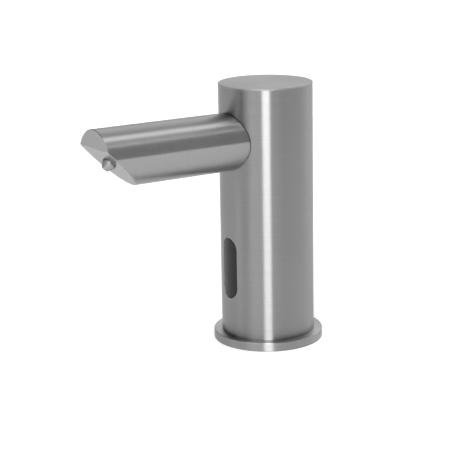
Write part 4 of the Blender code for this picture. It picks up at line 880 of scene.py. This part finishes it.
def spun_lines(shader, vector, scale):
    """Fine lines round the Z axis: noise over (direction round the axis, radius + height)."""
    flat = shader.vector("MULTIPLY", vector, (1, 1, 0))
    across = shader.maths("ADD", shader.vector("LENGTH", flat), shader.parts(vector)["Z"])
    around = shader.parts(shader.vector("MULTIPLY", shader.vector("NORMALIZE", flat), (0.9, 0.9, 0)))
    spot = shader.add("CombineXYZ", {
        "X": around["X"], "Y": around["Y"], "Z": shader.maths("MULTIPLY", across, scale)}).outputs[0]
    return shader.noise(spot, 1.0, 4.0, 0.62), shader.noise(vector, 45.0, 2.0)


def straight_lines(shader, vector, scale):
    """Fine lines along X: noise stretched along X."""
    stretch = shader.add("CombineXYZ", {"X": 60.0, "Y": scale, "Z": scale}).outputs[0]
    spot = shader.vector("MULTIPLY", vector, stretch)
    return shader.noise(spot, 1.0, 4.0, 0.62), shader.noise(vector, 60.0, 2.0)


def moulded_grain(shader, vector, scale):
    """A fine grain that is the same in every direction."""
    return shader.noise(vector, scale, 3.0, 0.6), shader.noise(vector, 180.0, 2.0)


def steel(name, place=None, lines=spun_lines, **own):
    """Brushed steel whose lines vary its tone, gloss and height a little. The shine stretches
    across the lines, which run along the first direction of the piece's own map. A rough, grain
    or shade of its own replaces the common one."""
    finish = bpy.context.scene.head_finish
    look = {"rough": finish.steel_roughness, "grain": finish.steel_grain, "shade": finish.steel, **own}
    shader = Shader(name)
    out = shader.masks(lines, place, BRUSHING)
    gloss = shader.maths(
        "ADD", shader.spread(out["Grain"], 0.0, 0.04), shader.spread(out["Clouds"], look["rough"], 0.02))
    shader.fill(shader.surface, {
        "Base Color": shader.tinted(out["Grain"], look["shade"], 0.90, 1.10),
        "Roughness": gloss,
        "Normal": shader.bumped(out["Grain"], 0.15, 0.00002),
        "Tangent": shader.add("Tangent", direction_type="UV_MAP", uv_map=UV_NAME).outputs[0],
        "Metallic": 1.0,
        "Specular Tint": (0.72, 0.72, 0.72, 1),
        "Anisotropic": look["grain"],
        "Anisotropic Rotation": 0.25,
    })
    return shader.material


def moulded(name, shade, rough, scale, depth, more=()):
    """A moulded or cast surface: fine grain in its height, soft clouds in its tone and gloss."""
    shader = Shader(name)
    out = shader.masks(moulded_grain, None, scale)
    shader.fill(shader.surface, {
        "Base Color": shader.tinted(out["Clouds"], shade, 0.85, 1.12),
        "Roughness": shader.spread(out["Clouds"], rough, 0.06),
        "Normal": shader.bumped(out["Grain"], 0.25, depth),
        **dict(more),
    })
    return shader.material


def rubber(name):
    return moulded(name, bpy.context.scene.head_finish.rubber, 0.62, 2500.0, 0.00003)


def plastic(name, slot):
    return moulded(name, getattr(bpy.context.scene.head_finish, slot), 0.42, 4000.0, 0.00001)


def smoked(name):
    """Dark glossy plastic."""
    shade = bpy.context.scene.head_finish.window
    return moulded(name, shade, 0.20, 900.0, 0.000004, {"Specular IOR Level": 0.24})


def metal(name, shade, rough):
    return moulded(name, shade, rough, 1800.0, 0.00001, {"Metallic": 1.0})


def brass(name):
    return metal(name, (0.72, 0.62, 0.42), 0.30)


def board(name):
    """Green board: copper tracks under the lacquer show as lighter lines."""
    shader = Shader(name)
    vector = shader.place()
    tracks = shader.add("TexBrick", {
        "Vector": vector, "Scale": 420.0, "Mortar Size": 0.06, "Color1": (0.02, 0.16, 0.06, 1),
        "Color2": (0.025, 0.19, 0.07, 1), "Mortar": (0.05, 0.30, 0.12, 1)}).outputs
    shader.fill(shader.surface, {
        "Base Color": tracks["Color"],
        "Roughness": shader.spread(shader.noise(vector, 900.0, 2.0), 0.34, 0.06),
        "Normal": shader.bumped(tracks["Fac"], 0.3, 0.00003),
    })
    return shader.material


def clear(name, shade, rough, weight):
    """Clear plastic with faint flow marks."""
    return moulded(name, shade, rough, 700.0, 0.00001, {"Transmission Weight": weight, "IOR": 1.45})


class FinishInnerParts(bpy.types.Operator):
    """Gives the solids that stay in the model their finishes"""

    bl_idname = "dispenser.finish_inner_parts"
    bl_label = "Inner Parts"

    def execute(self, context):
        finishes = {
            metal("inner_steel", (0.45, 0.45, 0.45), 0.32): (
                "spout_adapter", "saddle_washer", "sensor_bracket", "housing_screw_left",
                "housing_screw_right", "bracket_screw_left", "bracket_screw_right"),
            brass("nut_brass"): ("spout_nut", "connector_nut", "socket_nut"),
            rubber("inner_rubber"): (
                "body_o_ring", "cap_o_ring", "saddle_gasket", "nozzle_washer", "inlet_o_ring",
                "window_gasket"),
            plastic("valve_plastic", "white_plastic"): ("valve_body", "valve_inlet", "board_plug"),
            plastic("case_plastic", "black_plastic"): ("sensor_housing", "housing_cover"),
            moulded("lead_jacket", (0.03, 0.03, 0.03), 0.5, 1500.0, 0.00002): ("sensor_lead",),
            board("board_lacquer"): ("sensor_board",),
            clear("tube_clear", (0.86, 0.88, 0.88), 0.22, 0.85): ("soap_tube",),
            clear("emitter_clear", (0.70, 0.74, 0.86), 0.08, 0.8): ("ir_emitter",),
            moulded("receiver_dark", (0.02, 0.018, 0.025), 0.15, 900.0, 0.000005): ("ir_receiver",),
        }
        for material, nodes in finishes.items():
            for node in nodes:
                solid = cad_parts[node]
                solid.data.materials.clear()
                solid.data.materials.append(material)
        return {"FINISHED"}


# Stage


def toward(azimuth, elevation=0.0):
    """The direction at these angles in degrees, round Z from X and up from the floor."""
    turn, rise = radians(azimuth), radians(elevation)
    return cos(turn) * cos(rise), sin(turn) * cos(rise), sin(rise)


def surroundings(stage):
    """The light round the object, by direction: dim near the floor and brighter overhead, with
    lamps that fade out softly. A band is told by its angle round Y and shines behind only, a box
    by the angle to its middle, and a strip by its angle round Z and its height."""
    world = bpy.data.worlds.new("studio")
    world.use_nodes = True
    shader = Shader("studio", world.node_tree)
    direction = shader.add("TexCoord").outputs["Generated"]
    behind, height = shader.parts(direction)["Y"], shader.parts(direction)["Z"]

    def ramp(value, low, high, start=0.0, end=1.0):
        inputs = enumerate((value, low, high, start, end))
        return shader.add("MapRange", inputs, interpolation_type="SMOOTHSTEP").outputs[0]

    def flattened(*kept):
        return shader.vector("NORMALIZE", shader.vector("MULTIPLY", direction, kept))

    def lamp(seen, way, inner, outer, light):
        """Light where the direction lies within the inner angle of the way, and none outside."""
        near = shader.vector("DOT_PRODUCT", seen, way)
        return ramp(near, cos(radians(outer)), cos(radians(inner)), 0.0, light)

    low_sky = ramp(behind, -0.3, 0.1, stage.sky_front, stage.sky_low)
    total = ramp(height, 0.70, 0.80, low_sky, stage.sky_high)
    bands, upright, level = 0.0, flattened(1, 0, 1), flattened(1, 1, 0)
    for angle, inner, outer, light in BANDS:
        bands = shader.maths("ADD", bands, lamp(upright, toward(0.0, angle), inner, outer, light))
    bands = shader.maths("MULTIPLY", bands, ramp(behind, 0.0, 0.25))
    total = shader.maths("MAXIMUM", total, bands)
    for azimuth, elevation, inner, outer, light in BOXES:
        mask = lamp(direction, toward(azimuth, elevation), inner, outer, light)
        total = shader.maths("ADD", total, mask)
    for azimuth, inner, outer, low, high, light in STRIPS:
        mask = lamp(level, toward(azimuth), inner, outer, light)
        for dark, bright in ((high + 6, high), (low - 2, low)):
            rise = ramp(height, sin(radians(dark)), sin(radians(bright)))
            mask = shader.maths("MULTIPLY", mask, rise)
        total = shader.maths("ADD", total, mask)
    shader.fill(shader.nodes["Background"], {"Strength": total, "Color": (1, 1, 1, 1)})
    bpy.context.scene.world = world


# Lamps, in degrees. Band: angle, inner and outer angle, light. Box: azimuth, elevation, inner and
# outer angle, light. Strip: azimuth, inner and outer angle, lowest and highest elevation, light
CAMERA_AZIMUTH = -35.15
BANDS = (
    (108, 58, 62, 0.64),
    (85, 5, 12, 1.95),
    (56, 3, 7, 0.28),
    (130, 28, 34, 0.30),
    (136, 10, 20, 0.55),
)
BOXES = (
    (146, 10, 14, 28, 0.55),
    (-78, 50, 16, 23, 2.6),
)
STRIPS = (
    (CAMERA_AZIMUTH + 0.9, 7.8, 10.2, 0, 48, 8.6),
    (-62, 6, 22, 0, 50, 0.62),
    (-108, 3, 13, 2, 24, 0.7),
    (-18, 5, 24, 0, 50, 0.36),
    (102, 28, 33, 0, 35, 0.38),
)


class MakeStage(bpy.types.Operator):
    """Makes the pale floor, the soft surroundings and the camera of the photograph"""

    bl_idname = "dispenser.make_stage"
    bl_label = "Stage"

    def execute(self, context):
        stage = context.scene.head_stage
        near, far, thick = 0.3, 40.0, 0.01
        line = np.array([(0, 0), (near, 0), (far, 0), (far, -thick), (0, -thick)], float)[::-1]
        floor = make_piece("floor", [turned(line, FLOOR_STEPS)])
        shader = Shader("floor_paper")
        tone = shader.tinted(shader.noise(shader.place(), 3.0, 2.0), (stage.floor,) * 3, 0.99, 1.01)
        path = shader.add("LightPath").outputs
        seen = shader.maths("MAXIMUM", path["Is Glossy Ray"], path["Is Transmission Ray"])
        seen = shader.maths("MAXIMUM", path["Is Camera Ray"], seen)
        shader.fill(shader.surface, {
            "Base Color": tone, "Roughness": 1.0, "Specular IOR Level": 0.0, "Emission Color": (1, 1, 1, 1),
            "Emission Strength": shader.maths("MULTIPLY", seen, stage.floor_glow)})
        floor.data.materials.append(shader.material)
        surroundings(stage)
        view = bpy.data.cameras.new("camera")
        view.lens = CAMERA_FOCUS * view.sensor_width
        view.clip_start, view.clip_end = 0.01, 100.0
        camera = bpy.data.objects.new("camera", view)
        context.scene.collection.objects.link(camera)
        camera.matrix_world = CAMERA_MATRIX
        context.scene.camera = camera
        context.scene.view_settings.view_transform = "Standard"
        return {"FINISHED"}


class HeadPanel(bpy.types.Panel):
    """Lists the operators in the order in which they build the head"""

    bl_idname = "VIEW3D_PT_dispenser_head"
    bl_label = "Soap Dispenser Head"
    bl_space_type = "VIEW_3D"
    bl_region_type = "UI"
    bl_category = "Dispenser"

    def draw(self, context):
        for operator in OPERATORS:
            self.layout.operator(operator.bl_idname)
        for key, group in GROUPS.items():
            box = self.layout.box()
            for name in group.__annotations__:
                box.prop(getattr(context.scene, key), name)


GROUPS = {"head_sizes": HeadSizes, "head_finish": HeadFinish, "head_stage": HeadStage}
OPERATORS = (
    MakeFoot, MakeBody, MakeLid, MakeSpout, MakeNozzle, MakeValve, MakeWindow, MakeFittings,
    FinishInnerParts, MakeStage,
)


def register():
    for kind in (*GROUPS.values(), *OPERATORS, HeadPanel):
        bpy.utils.register_class(kind)
    for name, group in GROUPS.items():
        setattr(bpy.types.Scene, name, bpy.props.PointerProperty(type=group))


def unregister():
    for name in GROUPS:
        delattr(bpy.types.Scene, name)
    for kind in (HeadPanel, *OPERATORS[::-1], *list(GROUPS.values())[::-1]):
        bpy.utils.unregister_class(kind)


def main():
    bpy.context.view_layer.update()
    register()
    for operator in OPERATORS:
        getattr(bpy.ops.dispenser, operator.bl_idname.split(".")[1])()


if __name__ == "__main__":
    main()
